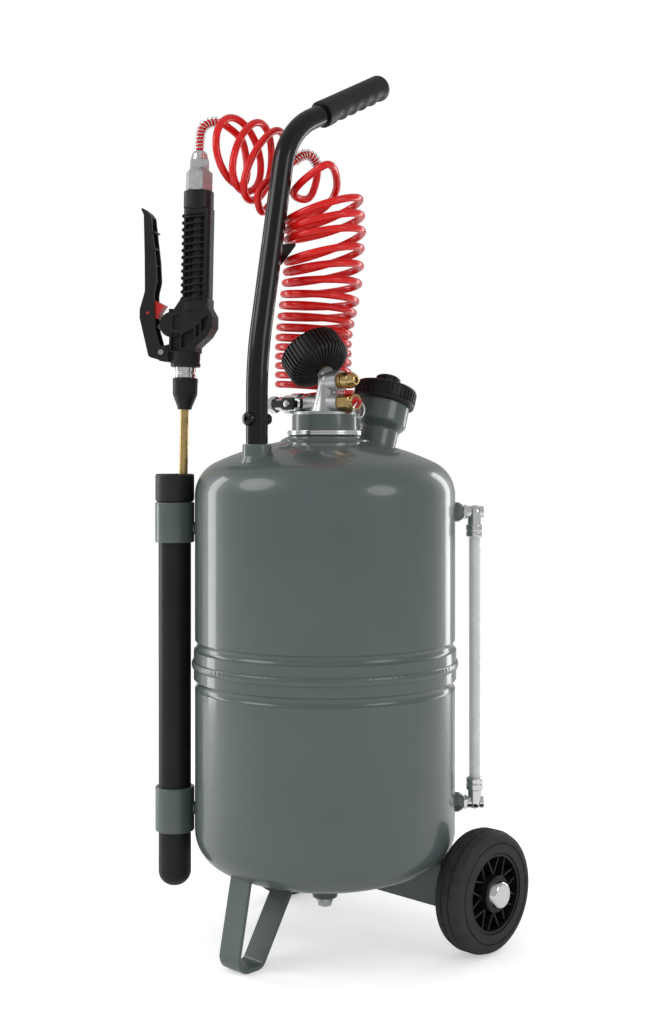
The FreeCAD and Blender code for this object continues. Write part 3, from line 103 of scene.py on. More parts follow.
class CartColours(bpy.types.PropertyGroup):
    """Colours of the finishes, as linear values."""
    enamel: paint("Tank enamel", "Grey-green gloss enamel", (0.084, 0.112, 0.109))
    handle: paint("Handle paint", "Black powder coat", (0.0035, 0.0035, 0.004))
    moulding: paint("Moulded plastic", "Black moulded plastic", (0.010, 0.010, 0.011))
    tyre: paint("Tyre rubber", "Dark grey solid rubber", (0.028, 0.028, 0.030))
    hose: paint("Hose", "Red polyurethane of the hose", (0.80, 0.010, 0.008))
    brass: paint("Brass", "Turned brass fittings", (0.66, 0.47, 0.20))


# Shader maths

class Number:
    """A number on a socket.  Python's operators on it add Math nodes."""

    def __init__(self, finish, socket):
        self.finish = finish
        self.socket = socket

    def maths(self, operation, first, second=None):
        """Number that a Math node makes of one or two values."""
        values = {0: first} if second is None else {0: first, 1: second}
        return self.finish.number("ShaderNodeMath", {"operation": operation}, values)

    def __add__(self, other):
        return self.maths("ADD", self, other)

    def __radd__(self, other):
        return self.maths("ADD", other, self)

    def __mul__(self, other):
        return self.maths("MULTIPLY", self, other)

    def __rmul__(self, other):
        return self.maths("MULTIPLY", other, self)


class Finish:
    """Node tree of one material round a Principled shader."""

    def __init__(self, name, values):
        self.material = bpy.data.materials.new(name)
        self.material.use_nodes = True
        self.tree = self.material.node_tree
        self.shader = self.tree.nodes["Principled BSDF"]
        self.connect(self.shader, values)
        colour = values.get("Base Color")
        if isinstance(colour, tuple):
            self.material.diffuse_color = colour

    def connect(self, node, values):
        """Set a node's sockets from plain values, Numbers or sockets."""
        for key, value in values.items():
            if isinstance(value, Number):
                value = value.socket
            if isinstance(value, bpy.types.NodeSocket):
                self.tree.links.new(value, node.inputs[key])
            else:
                node.inputs[key].default_value = value

    def node(self, kind, settings, values):
        """Add a node of this type with its settings first, then the values or links of its sockets."""
        node = self.tree.nodes.new(kind)
        for key, value in settings.items():
            if key == "stops":
                self.set_stops(node.color_ramp, value)
            else:
                setattr(node, key, value)
        self.connect(node, values)
        return node

    def set_stops(self, ramp, stops):
        """Place a ramp's stops."""
        while len(ramp.elements) < len(stops):
            ramp.elements.new(1.0)
        for element, (place, colour) in zip(ramp.elements, stops):
            element.position = place
            element.color = colour

    def number(self, kind, settings, values, output=0):
        """A node's output as a Number."""
        return Number(self, self.node(kind, settings, values).outputs[output])

    def place(self):
        """Object coordinates of the piece."""
        return self.node("ShaderNodeTexCoord", {}, {}).outputs["Object"]

    def noise(self, scale, detail=3.0):
        """Soft noise from 0 to 1 with this many lumps to the metre, in all or for each axis."""
        place = self.place()
        if isinstance(scale, tuple):
            place = self.node("ShaderNodeMapping", {}, {"Vector": place, "Scale": scale}).outputs["Vector"]
            scale = 1.0
        return self.number("ShaderNodeTexNoise", {}, {"Vector": place, "Scale": scale, "Detail": detail})

    def ramp(self, number, stops):
        """Colour that follows a number through stops."""
        return self.node("ShaderNodeValToRGB", {"stops": stops}, {"Fac": number}).outputs["Color"]

    def bump(self, height, distance, strength):
        """Relief of this depth in metres, on the shader's normal."""
        values = {"Height": height, "Distance": distance, "Strength": strength}
        self.connect(self.shader, {"Normal": self.node("ShaderNodeBump", {}, values).outputs["Normal"]})

    def colour(self, socket):
        """Drive the base colour."""
        self.connect(self.shader, {"Base Color": socket})

    def roughness(self, number):
        """Drive the roughness."""
        self.connect(self.shader, {"Roughness": number})


def shade(colour, factor):
    """Colour with its brightness changed, opaque."""
    return (colour[0] * factor, colour[1] * factor, colour[2] * factor, 1.0)


# One row a finish: fixed values, the colour's noise as lumps to the metre and detail, its stops, least
# roughness with its spread and noise, and the relief's noises, depth and strength.  A stop has a linear
# colour or a setting's name, and a brightness.
FINISHES = {
    # Gloss enamel with a faint cloud in it, orange peel and a clear coat
    "gloss_enamel": ({"Coat Weight": 0.6, "Coat Roughness": 0.07}, (9.0, 3.0),
        [(0.3, "enamel", 0.95), (0.7, "enamel", 1.05)], (0.30, 0.10, 30.0, 4.0),
        ([(1.0, 260.0, 2.0), (2.2, 55.0, 1.0)], 0.00016, 0.5)),
    # Black powder coat with a fine pebbled skin
    "black_powder_coat": ({"Coat Weight": 0.45, "Coat Roughness": 0.06, "Specular IOR Level": 0.2},
        (40.0, 3.0), [(0.3, "handle", 0.85), (0.75, "handle", 1.3)], (0.22, 0.12, 80.0, 4.0),
        ([(1.0, 600.0, 2.0)], 0.00004, 0.4)),
    # Black moulded plastic with a fine grain, uneven in gloss
    "moulded_black": ({"Specular IOR Level": 0.32}, (70.0, 4.0),
        [(0.3, "moulding", 0.8), (0.75, "moulding", 1.45)], (0.34, 0.16, 45.0, 4.0),
        ([(1.0, 2600.0, 2.0)], 0.00006, 0.6)),
    # Black extruded tube with fine lines along it
    "extruded_black": ({"Specular IOR Level": 0.3}, (24.0, 3.0),
        [(0.3, (0.0075, 0.0075, 0.008), 1.0), (0.7, (0.012, 0.012, 0.0125), 1.0)],
        (0.34, 0.14, (700.0, 700.0, 9.0), 3.0), ([(1.0, (700.0, 700.0, 9.0), 3.0)], 0.00008, 0.5)),
    # Soft black rubber of the grip, the boot and the seals
    "soft_rubber": ({}, (120.0, 4.0), [(0.3, (0.005, 0.005, 0.0055), 1.0),
        (0.75, (0.011, 0.011, 0.0115), 1.0)], (0.38, 0.16, 60.0, 4.0),
        ([(1.0, 1800.0, 2.0)], 0.00008, 0.6)),
    # Solid tyre rubber, dark grey and dull, with paler dusty patches
    "tyre_rubber_finish": ({"Specular IOR Level": 0.4}, (90.0, 5.0),
        [(0.3, "tyre", 0.8), (0.62, "tyre", 1.1), (0.85, "tyre", 1.9)], (0.55, 0.25, 50.0, 4.0),
        ([(1.0, 1300.0, 3.0)], 0.00012, 0.6)),
    # Bright chrome plate with a light haze
    "chrome_plate": ({"Metallic": 1.0}, (60.0, 3.0),
        [(0.3, (0.78, 0.79, 0.80), 1.0), (0.7, (0.90, 0.91, 0.92), 1.0)], (0.10, 0.10, 90.0, 4.0),
        ([(1.0, 500.0, 2.0)], 0.00003, 0.4)),
    # Zinc plated steel, grey and slightly mottled
    "zinc_plate": ({"Metallic": 1.0}, (200.0, 4.0),
        [(0.3, (0.40, 0.41, 0.42), 1.0), (0.7, (0.56, 0.57, 0.58), 1.0)], (0.25, 0.2, 300.0, 4.0),
        ([(1.0, 900.0, 3.0)], 0.00005, 0.5)),
    # Cast aluminium, pale grey with a fine grained skin
    "cast_aluminium": ({"Metallic": 0.85}, (300.0, 5.0),
        [(0.3, (0.46, 0.47, 0.48), 1.0), (0.7, (0.66, 0.67, 0.68), 1.0)], (0.34, 0.2, 400.0, 4.0),
        ([(1.0, 1500.0, 4.0)], 0.00018, 0.6)),
    # Turned brass with warm patches
    "turned_brass": ({"Metallic": 1.0}, (150.0, 4.0), [(0.3, "brass", 0.82), (0.7, "brass", 1.08)],
        (0.16, 0.16, 220.0, 4.0), ([(1.0, 1200.0, 3.0)], 0.00004, 0.5)),
    # Glossy red polyurethane that scatters a little light
    "red_polyurethane": ({"Coat Weight": 0.25, "Coat Roughness": 0.05, "Specular IOR Level": 0.35,
        "Subsurface Weight": 0.08, "Subsurface Radius": (0.004, 0.0006, 0.0004)}, (60.0, 2.0),
        [(0.3, "hose", 0.86), (0.7, "hose", 1.04)], (0.16, 0.1, 140.0, 3.0),
        ([(1.0, 420.0, 1.0)], 0.00005, 0.35)),
    # Red moulded plastic of the latch and the relief valve
    "red_moulding": ({"Coat Weight": 0.2}, (200.0, 3.0),
        [(0.3, (0.50, 0.010, 0.010), 1.0), (0.7, (0.64, 0.016, 0.014), 1.0)], (0.24, 0.14, 300.0, 3.0),
        ([(1.0, 1800.0, 2.0)], 0.00005, 0.4)),
    # Clear plastic tube, a little milky
    "clear_plastic": ({"Alpha": 0.6, "Coat Weight": 0.5}, (40.0, 3.0),
        [(0.3, (0.84, 0.86, 0.86), 1.0), (0.7, (0.92, 0.94, 0.94), 1.0)], (0.08, 0.12, 120.0, 3.0), None),
    # Flat clear lens of the gauge
    "gauge_glass": ({"Base Color": (0.9, 0.92, 0.93, 1.0), "Roughness": 0.04, "Alpha": 0.22}, None, None,
        None, None),
    # White dial card
    "dial_card": ({"Roughness": 0.5}, (300.0, 3.0),
        [(0.3, (0.72, 0.72, 0.70), 1.0), (0.7, (0.80, 0.80, 0.78), 1.0)], None, None),
    # Black print
    "dial_print": ({"Roughness": 0.5}, (900.0, 3.0),
        [(0.3, (0.008, 0.008, 0.008), 1.0), (0.7, (0.016, 0.016, 0.016), 1.0)], None, None),
}


def material(name):
    """Material of this name, made once from its row in FINISHES."""
    found = bpy.data.materials.get(name)
    if found:
        return found
    values, cloud, stops, gloss, relief = FINISHES[name]
    look = Finish(name, values)
    settings = bpy.context.scene.cart_colours
    if stops:
        ramp = [(place, shade(getattr(settings, colour) if isinstance(colour, str) else colour, factor))
                for place, colour, factor in stops]
        look.colour(look.ramp(look.noise(*cloud), ramp))
    if gloss:
        least, spread, scale, detail = gloss
        look.roughness(least + spread * look.noise(scale, detail))
    if relief:
        noises, depth, strength = relief
        look.bump(sum(weight * look.noise(scale, detail) for weight, scale, detail in noises), depth,
                  strength)
    return look.material


def inlet_finish():
    """Cast aluminium of the gun's inlet, black below INLET_BARE_Z where its tube runs in the grip."""
    look = Finish("inlet_aluminium", {})
    height = look.number("ShaderNodeSeparateXYZ", {}, {"Vector": look.place()}, "Z")
    bare = height.maths("GREATER_THAN", height, INLET_BARE_Z)
    grain = 0.75 + 0.25 * look.noise(300.0, 5.0)
    look.colour(look.ramp(bare * grain, [(0.0, (0.008, 0.008, 0.009, 1)), (0.82, (0.46, 0.47, 0.48, 1)),
                                         (0.94, (0.66, 0.67, 0.68, 1))]))
    look.connect(look.shader, {"Metallic": 0.85 * bare})
    look.roughness(0.34 + 0.2 * look.noise(400.0, 4.0))
    look.bump(look.noise(1500.0, 4.0), 0.00018, 0.6)


# Surfaces

def corner_arc(before, corner, after, radius, steps):
    """Arc that rounds a corner: centre + radius (cos a, sin a) from one tangent point to the other."""
    back = (before - corner) / np.linalg.norm(before - corner)
    ahead = (after - corner) / np.linalg.norm(after - corner)
    half = math.acos(np.clip(back @ ahead, -1, 1)) / 2
    centre = corner + (back + ahead) / np.linalg.norm(back + ahead) * radius / math.sin(half)
    first = corner + back * radius / math.tan(half) - centre
    last = corner + ahead * radius / math.tan(half) - centre
    start = math.atan2(first[1], first[0])
    sweep = (math.atan2(last[1], last[0]) - start + math.pi) % (2 * math.pi) - math.pi
    angles = start + sweep * np.linspace(0, 1, steps + 1)
    return centre + radius * np.stack([np.cos(angles), np.sin(angles)], axis=1)


def rounded(corners, steps=6):
    """Closed outline through (u, v) corners; a third number is the radius of a corner's arc."""
    spots = [np.array(corner[:2], float) for corner in corners]
    outline = []
    for index, corner in enumerate(corners):
        if len(corner) == 2:
            outline.append(spots[index][None, :])
        else:
            after = spots[(index + 1) % len(corners)]
            outline.append(corner_arc(spots[index - 1], spots[index], after, corner[2], steps))
    return np.concatenate(outline)


def grid_faces(rows, columns, close_rows, close_columns):
    """Quads of a grid of points; a closed direction joins its last line to its first."""
    down = np.arange(rows if close_rows else rows - 1)
    over = np.arange(columns if close_columns else columns - 1)
    a, b = np.meshgrid(down, over, indexing="ij")
    c = (a + 1) % rows
    d = (b + 1) % columns
    return np.stack([a * columns + b, a * columns + d, c * columns + d, c * columns + b],
                    axis=-1).reshape(-1, 4)


def tube_faces(rows, columns):
    """Faces of a tube of points that is closed by a flat face at both ends."""
    faces = grid_faces(rows, columns, False, True).tolist()
    last = (rows - 1) * columns
    return faces + [list(range(columns))[::-1], list(range(last, last + columns))]


def around_axis(radius, level, angles):
    """Rows of points (r cos t, r sin t, z); r and z may each change along and round the surface."""
    radius, level, angles = np.broadcast_arrays(radius, level, angles)
    return np.stack([radius * np.cos(angles), radius * np.sin(angles), level], axis=-1).reshape(-1, 3)


def turned(profile, steps):
    """Surface of revolution: the point (r, z) of a closed profile goes to (r cos t, r sin t, z)."""
    angles = np.linspace(0, 2 * math.pi, steps, endpoint=False)
    faces = grid_faces(len(profile), steps, True, True).tolist()
    return around_axis(profile[:, :1], profile[:, 1:], angles), faces


def prism(outline, low, high):
    """Solid of an (u, v) outline, (u, v, low) to (u, v, high), with flat ends."""
    count = len(outline)
    ends = [np.column_stack([outline, np.full(count, level)]) for level in (low, high)]
    faces = [[k, (k + 1) % count, (k + 1) % count + count, k + count] for k in range(count)]
    faces += [list(range(count))[::-1], list(range(count, 2 * count))]
    return np.concatenate(ends), faces


def square_to(path, reference):
    """Two unit vectors at each point of a path: n, the reference made square to it, and m = t x n."""
    way = np.gradient(path, axis=0)
    way /= np.linalg.norm(way, axis=1, keepdims=True)
    reference = np.broadcast_to(np.asarray(reference, float), path.shape)
    side = reference - way * np.sum(reference * way, axis=1, keepdims=True)
    side /= np.linalg.norm(side, axis=1, keepdims=True)
    return side, np.cross(way, side)


def swept(path, radius, sides, reference):
    """Tube round a path: p + r (n cos a + m sin a), with n and m square to it."""
    side, over = square_to(path, reference)
    angles = np.linspace(0, 2 * math.pi, sides, endpoint=False)[None, :, None]
    around = side[:, None, :] * np.cos(angles) + over[:, None, :] * np.sin(angles)
    return (path[:, None, :] + radius * around).reshape(-1, 3), tube_faces(len(path), sides)


def together(*shapes):
    """Several (points, faces) as one."""
    points = []
    faces = []
    start = 0
    for part_points, part_faces in shapes:
        points.append(np.asarray(part_points, float))
        faces += [[start + k for k in face] for face in part_faces]
        start += len(part_points)
    return np.concatenate(points), faces


def aimed(shape, origin, direction, hint=(0.0, 1.0, 0.0)):
    """Shape drawn along Z, with Z along the direction and X square to it towards the hint."""
    points, faces = shape
    way = np.array(direction, float)
    way /= np.linalg.norm(way)
    first = np.array(hint, float)
    first = first - way * (first @ way)
    first /= np.linalg.norm(first)
    axes = np.stack([first, np.cross(way, first), way])
    return np.asarray(points) @ axes + np.array(origin, float), faces


def at_side(shape, degrees, radius=0.0):
    """Shape moved out along X by a radius, turned about the tank's axis and set on it."""
    points, faces = shape
    turn = math.radians(degrees)
    c, s = math.cos(turn), math.sin(turn)
    moved = np.asarray(points) + (radius, 0, 0)
    matrix = np.array([[c, s, 0], [-s, c, 0], [0, 0, 1]])
    return moved @ matrix + (0, AXIS_Y, 0), faces


def on_axis(shape):
    """Shape set on the tank's axis."""
    return at_side(shape, 0.0)


def piece(name, shape, finish, body, nodes=(), sharp=32.0):
    """Make an object of a shape, smooth but for edges sharper than the angle, riding on a body."""
    points, faces = shape
    mesh = bpy.data.meshes.new(name)
    mesh.from_pydata(np.asarray(points).tolist(), [], faces)
    work = bmesh.new()
    work.from_mesh(mesh)
    bmesh.ops.remove_doubles(work, verts=work.verts, dist=2e-6)
    bmesh.ops.dissolve_degenerate(work, edges=work.edges, dist=1e-7)
    bmesh.ops.recalc_face_normals(work, faces=work.faces)
    limit = math.radians(sharp)
    for face in work.faces:
        face.smooth = True
    for edge in work.edges:
        edge.smooth = len(edge.link_faces) == 2 and edge.calc_face_angle(0.0) < limit
    work.to_mesh(mesh)
    work.free()
    mesh.materials.append(material(finish))
    thing = bpy.data.objects.new(name, mesh)
    bpy.context.scene.collection.objects.link(thing)
    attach(thing, body)
    if nodes:
        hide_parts(*nodes)
    return thing


def dress(finish, *nodes):
    """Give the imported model's own nodes a finish."""
    for node in nodes:
        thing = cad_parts[node]
        for slot in thing.material_slots:
            slot.material = material(finish)
        if not thing.material_slots:
            thing.data.materials.append(material(finish))


def drawn(context, thing):
    """Points and faces that a curve object draws.  The object is then taken away."""
    context.view_layer.update()
    mesh = bpy.data.meshes.new_from_object(thing.evaluated_get(context.evaluated_depsgraph_get()))
    points = np.empty(len(mesh.vertices) * 3)
    mesh.vertices.foreach_get("co", points)
    faces = [list(face.vertices) for face in mesh.polygons]
    curve = thing.data
    bpy.data.objects.remove(thing)
    bpy.data.curves.remove(curve)
    bpy.data.meshes.remove(mesh)
    return points.reshape(-1, 3), faces


# Tank

def half_profile(knuckle_z, crown_z, mouth, inset):
    """Outline of one tank half: a crown arc, a knuckle arc, the wall, the rolled groove and the belt,
    all moved inwards by the inset."""
    side = 1.0 if crown_z > knuckle_z else -1.0
    height = abs(crown_z - knuckle_z)
    flat = TANK_RADIUS - KNUCKLE
    big = (flat ** 2 + height ** 2 - KNUCKLE ** 2) / (2 * (height - KNUCKLE))
    lean = math.asin(flat / (big - KNUCKLE))
    crown = np.linspace(math.asin(mouth / (big - inset)), lean, 30)
    knuckle = np.linspace(lean, math.pi / 2, 24)[1:]
    wall = TANK_RADIUS - inset
    groove = np.linspace(0, math.pi, 17)
    groove_z = SEAM_Z + side * 0.020
    radii = np.concatenate([(big - inset) * np.sin(crown), flat + (KNUCKLE - inset) * np.sin(knuckle),
                            wall + 0.0012 * groove / math.pi - 0.0026 * np.sin(groove) ** 1.5,
                            [wall + 0.0012]])
    heights = np.concatenate([crown_z - side * big + side * (big - inset) * np.cos(crown),
                              knuckle_z + side * (KNUCKLE - inset) * np.cos(knuckle),
                              groove_z + side * 0.0050 * np.cos(groove), [SEAM_Z]])
    return np.stack([radii, heights], axis=1)


def tank_half(knuckle_z, crown_z, mouth, steps):
    """One half as a sheet: its outline and the same outline moved in by the sheet's thickness."""
    outer = half_profile(knuckle_z, crown_z, mouth, 0.0)
    inner = half_profile(knuckle_z, crown_z, mouth, SHEET)
    return turned(np.concatenate([outer, inner[::-1]]), steps)


def weld_bead(steps):
    """Ring bead round the seam: its height swells almost evenly, as each puddle of the weld did:
    r = r0 + h(v) (1 + 0.16 |sin(60 t + 0.9 sin 7 t)|)."""
    across = np.linspace(-1, 1, 15)
    bead = 0.0017 * np.sqrt(np.clip(1 - across ** 2, 0, 1))
    angles = np.linspace(0, 2 * math.pi, steps * 4, endpoint=False)
    ripple = 1 + 0.16 * np.abs(np.sin(60 * angles + 0.9 * np.sin(7 * angles)))
    radius = TANK_RADIUS + 0.0013 + bead[:, None] * ripple[None, :]
    radius = np.concatenate([radius, np.full((1, len(angles)), TANK_RADIUS - 0.0005)])
    height = SEAM_Z + 0.0042 * np.concatenate([across, [0.0]])
    faces = grid_faces(len(height), len(angles), True, True).tolist()
    return around_axis(radius, height[:, None], angles), faces


class CART_OT_tank(bpy.types.Operator):
    """Tank halves with the handle's socket and the level tube's bosses, the girth weld and the collar"""
    bl_idname = "cart.tank"
    bl_label = "Tank"

    def execute(self, context):
        steps = context.scene.cart_sizes.round_steps
        enamel = "gloss_enamel"
        boss = rounded([(0, -0.004), (0.0105, -0.004), (0.0102, 0.004, 0.002), (0.0072, 0.009, 0.003),
                        (0, 0.009)])
        boss = turned(boss, 48)
        wall = (TANK_RADIUS * math.cos(SIDE), TANK_RADIUS * math.sin(SIDE) + AXIS_Y)
        out = (math.cos(SIDE), math.sin(SIDE), 0)
        bosses = [aimed(boss, (wall[0], wall[1], z), out, (0, 0, 1)) for z in (0.449, 0.145)]
        stub = turned(rounded([(0, 0.494), (0.0145, 0.494), (0.0145, 0.5198, 0.0015), (0.0089, 0.5198),
                               (0.0089, 0.562, 0.0015), (0, 0.562)]), 64)
        fillet = turned(rounded([(0.0138, 0.496), (0.0185, 0.4985), (0.0142, 0.5085, 0.004),
                                 (0.0138, 0.512)]), 64)
        stub = aimed(together(stub, fillet), (0, HANDLE_Y + AXIS_Y, 0), (0, 0, 1))
        upper = together(on_axis(tank_half(0.467, 0.527, 0.028, steps)), stub, bosses[0])
        piece("tank_upper_half", upper, enamel, "root", ["upper_shell"])
        drain = rounded([(0.008, 0.046), (0.013, 0.046, 0.001), (0.015, 0.061), (0.015, 0.0645),
                         (0.008, 0.0645)])
        drain = on_axis(turned(drain, 64))
        lower = together(on_axis(tank_half(0.120, 0.062, 0.008, steps)), bosses[1], drain)
        piece("tank_lower_half", lower, enamel, "root", ["lower_shell"])
        piece("girth_weld_bead", on_axis(weld_bead(steps)), enamel, "root", ["girth_weld"])
        collar = rounded([(0.028, 0.5185), (0.0485, 0.5185, 0.0015), (0.0462, 0.5245, 0.003),
                          (0.0372, 0.529, 0.002), (0.0345, 0.529), (0.0345, 0.551, 0.001), (0.028, 0.551)])
        piece("dome_collar", on_axis(turned(collar, steps)), enamel, "root", ["neck_collar"])
        clamp = rounded([(0.03455, 0.5292), (0.0393, 0.5292, 0.0012), (0.0393, 0.5313, 0.0006),
                         (0.0381, 0.5318, 0.0006), (0.0393, 0.5323, 0.0006), (0.0393, 0.5344, 0.0012),
                         (0.03455, 0.5344)])
        piece("collar_clamp", on_axis(turned(clamp, steps)), "chrome_plate", "root",
              ["neck_clamp_ring"])
        return {"FINISHED"}


class CART_OT_filler(bpy.types.Operator):
    """Filler neck, leaning over the dome, with its screw cap"""
    bl_idname = "cart.filler"
    bl_label = "Filler neck and cap"

    def execute(self, context):
        neck = rounded([(0.0207, -0.009), (0.0227, -0.009), (0.0227, 0.020, 0.004), (0.0292, 0.028, 0.006),
                        (0.0292, 0.064, 0.0008), (0.0272, 0.064), (0.0272, 0.029, 0.006),
                        (0.0207, 0.021, 0.004)], 8)
        bead = rounded([(0.0222, -0.008), (0.0262, -0.008), (0.0240, 0.0, 0.002), (0.0222, 0.003)])
        shape = together(turned(neck, 128), turned(bead, 128))
        shape = aimed(shape, (0, FILLER_AWAY + AXIS_Y, 0.516),
                      (0, math.sin(FILLER_LEAN), math.cos(FILLER_LEAN)), (1, 0, 0))
        piece("filler_neck_tube", shape, "gloss_enamel", "root", ["filler_neck"])
        dress("moulded_black", "filler_cap")
        dress("soft_rubber", "cap_gasket")
        return {"FINISHED"}


class CART_OT_fittings(bpy.types.Operator):
    """Manifold, ball valve, relief valve, air valve and dip tube"""
    bl_idname = "cart.fittings"
    bl_label = "Manifold and valves"

    def execute(self, context):
        dress("cast_aluminium", "manifold")
        dress("turned_brass", "air_valve_body", "air_valve_core", "relief_valve_body", "dip_tube")
        dress("chrome_plate", "ball_valve_body", "outlet_hose_nut", "relief_pull_ring")
        dress("moulded_black", "ball_valve_lever")
        dress("red_moulding", "relief_valve_sleeve", "relief_valve_stem")
        dress("zinc_plate", "drain_plug", "ball_valve_stem")
        return {"FINISHED"}


# Pressure gauge

GAUGE_LEAN = math.radians(42.0)
GAUGE_ORIGIN = (0.008, AXIS_Y, 0.586)
GAUGE_WAY = (-math.sin(GAUGE_LEAN), 0.0, math.cos(GAUGE_LEAN))
GAUGE_BACK = 0.0175
BOOT_RADIUS, BOOT_DEPTH, BOOT_RIBS = 0.034, 0.030, 44


def boot_surface(radius, depth, ribs):
    """Ribbed boot: a rounded cup whose wall and back go in and out by w = 0.5 - 0.5 tanh(4 cos(ribs t)),
    r = r0 - 2.6 mm w on the wall and z = z0 + 2.2 mm w on the back."""
    back = GAUGE_BACK
    cup = rounded([(0.0046, back), (radius - 0.009, back), (radius, back + 0.005, 0.007),
                   (radius, back + depth, 0.0025), (0.025, back + depth, 0.001),
                   (0.025, back + depth - 0.0025), (radius - 0.0045, back + depth - 0.0025),
                   (radius - 0.0045, back + 0.004), (0.0046, back + 0.004)], 8)
    angles = np.linspace(0, 2 * math.pi, ribs * 16, endpoint=False)
    wave = 0.5 - 0.5 * np.tanh(4.0 * np.cos(ribs * angles))
    radii, levels = cup[:, :1], cup[:, 1:]
    outside = (radii > radius - 0.0044) & (levels < back + depth - 0.0005)
    rear = (levels < back + 0.0035) & (radii > 0.010)
    reach = radii - 0.0026 * outside * wave
    level = levels + 0.0022 * rear * np.clip((radii - 0.010) / 0.006, 0, 1) * wave
    return around_axis(reach, level, angles), grid_faces(len(cup), len(angles), True, True).tolist()


def dial_marks():
    """Marks of the scale: small bars on the dial from 225 degrees round to -45, one in five longer."""
    shapes = []
    for index in range(41):
        angle = math.radians(225.0 - 270.0 * index / 40)
        long = index % 5 == 0
        inner = 0.0195 if long else 0.0215
        half = 0.00035 if long else 0.0002
        bar = np.array([(inner, -half), (0.0240, -half), (0.0240, half), (inner, half)])
        c, s = math.cos(angle), math.sin(angle)
        outline = bar @ np.array([[c, s], [-s, c]])
        shapes.append(prism(outline, GAUGE_BACK + 0.02095, GAUGE_BACK + 0.0211))
    return together(*shapes)


def dial_numbers(context):
    """Numbers 0 to 8 inside the marks, from Blender's own font, as flat solids."""
    shapes = []
    for index in range(5):
        curve = bpy.data.curves.new("number", "FONT")
        curve.body = str(2 * index)
        curve.size = 0.0052
        curve.align_x = "CENTER"
        curve.align_y = "CENTER"
        curve.extrude = 0.00008
        thing = bpy.data.objects.new("number", curve)
        context.scene.collection.objects.link(thing)
        points, faces = drawn(context, thing)
        angle = math.radians(225.0 - 67.5 * index)
        spot = (0.0158 * math.cos(angle), 0.0158 * math.sin(angle), GAUGE_BACK + 0.0211)
        shapes.append((points + spot, faces))
    return together(*shapes)


def on_gauge(shape):
    """Shape drawn on the gauge's axis, set in its place."""
    return aimed(shape, GAUGE_ORIGIN, GAUGE_WAY, (0, 1, 0))


class CART_OT_gauge(bpy.types.Operator):
    """Pressure gauge in its ribbed rubber boot"""
    bl_idname = "cart.gauge"
    bl_label = "Pressure gauge"

    def execute(self, context):
        piece("gauge_rubber_boot", on_gauge(boot_surface(BOOT_RADIUS, BOOT_DEPTH, BOOT_RIBS)),
              "soft_rubber", "root", ["gauge_boot"], 50.0)
        ink = "dial_print"
        piece("dial_scale", on_gauge(dial_marks()), ink, "root")
        piece("dial_figures", on_gauge(dial_numbers(context)), ink, "root")
        dress("dial_card", "gauge_dial")
        dress(ink, "gauge_needle")
        dress("gauge_glass", "gauge_lens")
        dress("zinc_plate", "gauge_case")
        dress("turned_brass", "gauge_stem")
        return {"FINISHED"}


class CART_OT_level_tube(bpy.types.Operator):
    """Clear level tube with its marks, push-in nuts and elbows"""
    bl_idname = "cart.level_tube"
    bl_label = "Level tube"

    def execute(self, context):
        wall = np.array([(0.006, 0.1532), (0.006, 0.4408), (0.0045, 0.4408), (0.0045, 0.1532)])
        tube = at_side(turned(wall, 64), LEVEL_TURN, LEVEL_REACH)
        piece("clear_level_tube", tube, "clear_plastic", "root", ["sight_tube"])
        marks = []
        for index in range(23):
            height = 0.186 + 0.0101 * index
            reach = 0.34 if index % 5 == 0 else 0.2
            turn = np.linspace(-reach, reach, 9) - 0.45
            arc = np.stack([np.cos(turn), np.sin(turn)], axis=1)
            outline = np.concatenate([0.00608 * arc, 0.00601 * arc[::-1]])
            marks.append(prism(outline, height, height + 0.0006))
        piece("level_marks", at_side(together(*marks), LEVEL_TURN, LEVEL_REACH), "dial_print", "root")
        dress("chrome_plate", "sight_elbows", "sight_nuts")
        return {"FINISHED"}


class CART_OT_holder(bpy.types.Operator):
    """Lance holder: closed black tube with a soft mouth, in two rings welded to the tank"""
    bl_idname = "cart.holder"
    bl_label = "Lance holder"

    def execute(self, context):
        outer = rounded([(0, 0.0585), (0.017, 0.0585, 0.0155), (0.017, 0.487), (0.015, 0.487),
                         (0.015, 0.0605, 0.0135), (0, 0.0605)], 12)
        tube = at_side(turned(outer, 128), HOLDER_TURN, HOLDER_REACH)
        piece("holder_long_tube", tube, "extruded_black", "root", ["holder_tube"])
        mouth = rounded([(0.01705, 0.460), (0.0188, 0.460), (0.0203, 0.462, 0.001), (0.0203, 0.489, 0.002),
                         (0.0142, 0.489, 0.0015), (0.0142, 0.4871), (0.01705, 0.4871)], 8)
        piece("holder_soft_mouth", at_side(turned(mouth, 128), HOLDER_TURN, HOLDER_REACH), "soft_rubber",
              "root", ["holder_collar"])
        rings = []
        for low, high, weld in ((0.4175, 0.4595, 0.432), (0.116, 0.162, 0.139)):
            ring = rounded([(0.01705, low), (0.0205, low, 0.0012), (0.0205, high, 0.0012), (0.01705, high)])
            spot = rounded([(0, 0), (0.0085, 0), (0.0066, 0.0025, 0.002), (0.0066, 0.0055), (0, 0.0055)])
            spot = turned(spot, 48)
            weld_spot = aimed(spot, (-0.0236, 0, weld), (1, 0, 0))
            rings.append(at_side(together(turned(ring, 128), weld_spot), HOLDER_TURN, HOLDER_REACH))
        piece("holder_weld_rings", together(*rings), "gloss_enamel", "root", ["holder_rings"])
        return {"FINISHED"}


# Push handle

def handle_path():
    """Middle line of the handle in the plane x = 0: straight runs joined by arcs."""
    spots = [np.array(corner) for corner in HANDLE_CORNERS]
    points = [spots[0][None, :]]
    for index, radius in enumerate(HANDLE_BENDS):
        points.append(corner_arc(spots[index], spots[index + 1], spots[index + 2], radius, 24))
    points.append(spots[3][None, :])
    flat = np.concatenate(points)
    return np.column_stack([np.zeros(len(flat)), flat[:, 0] + AXIS_Y, flat[:, 1]])


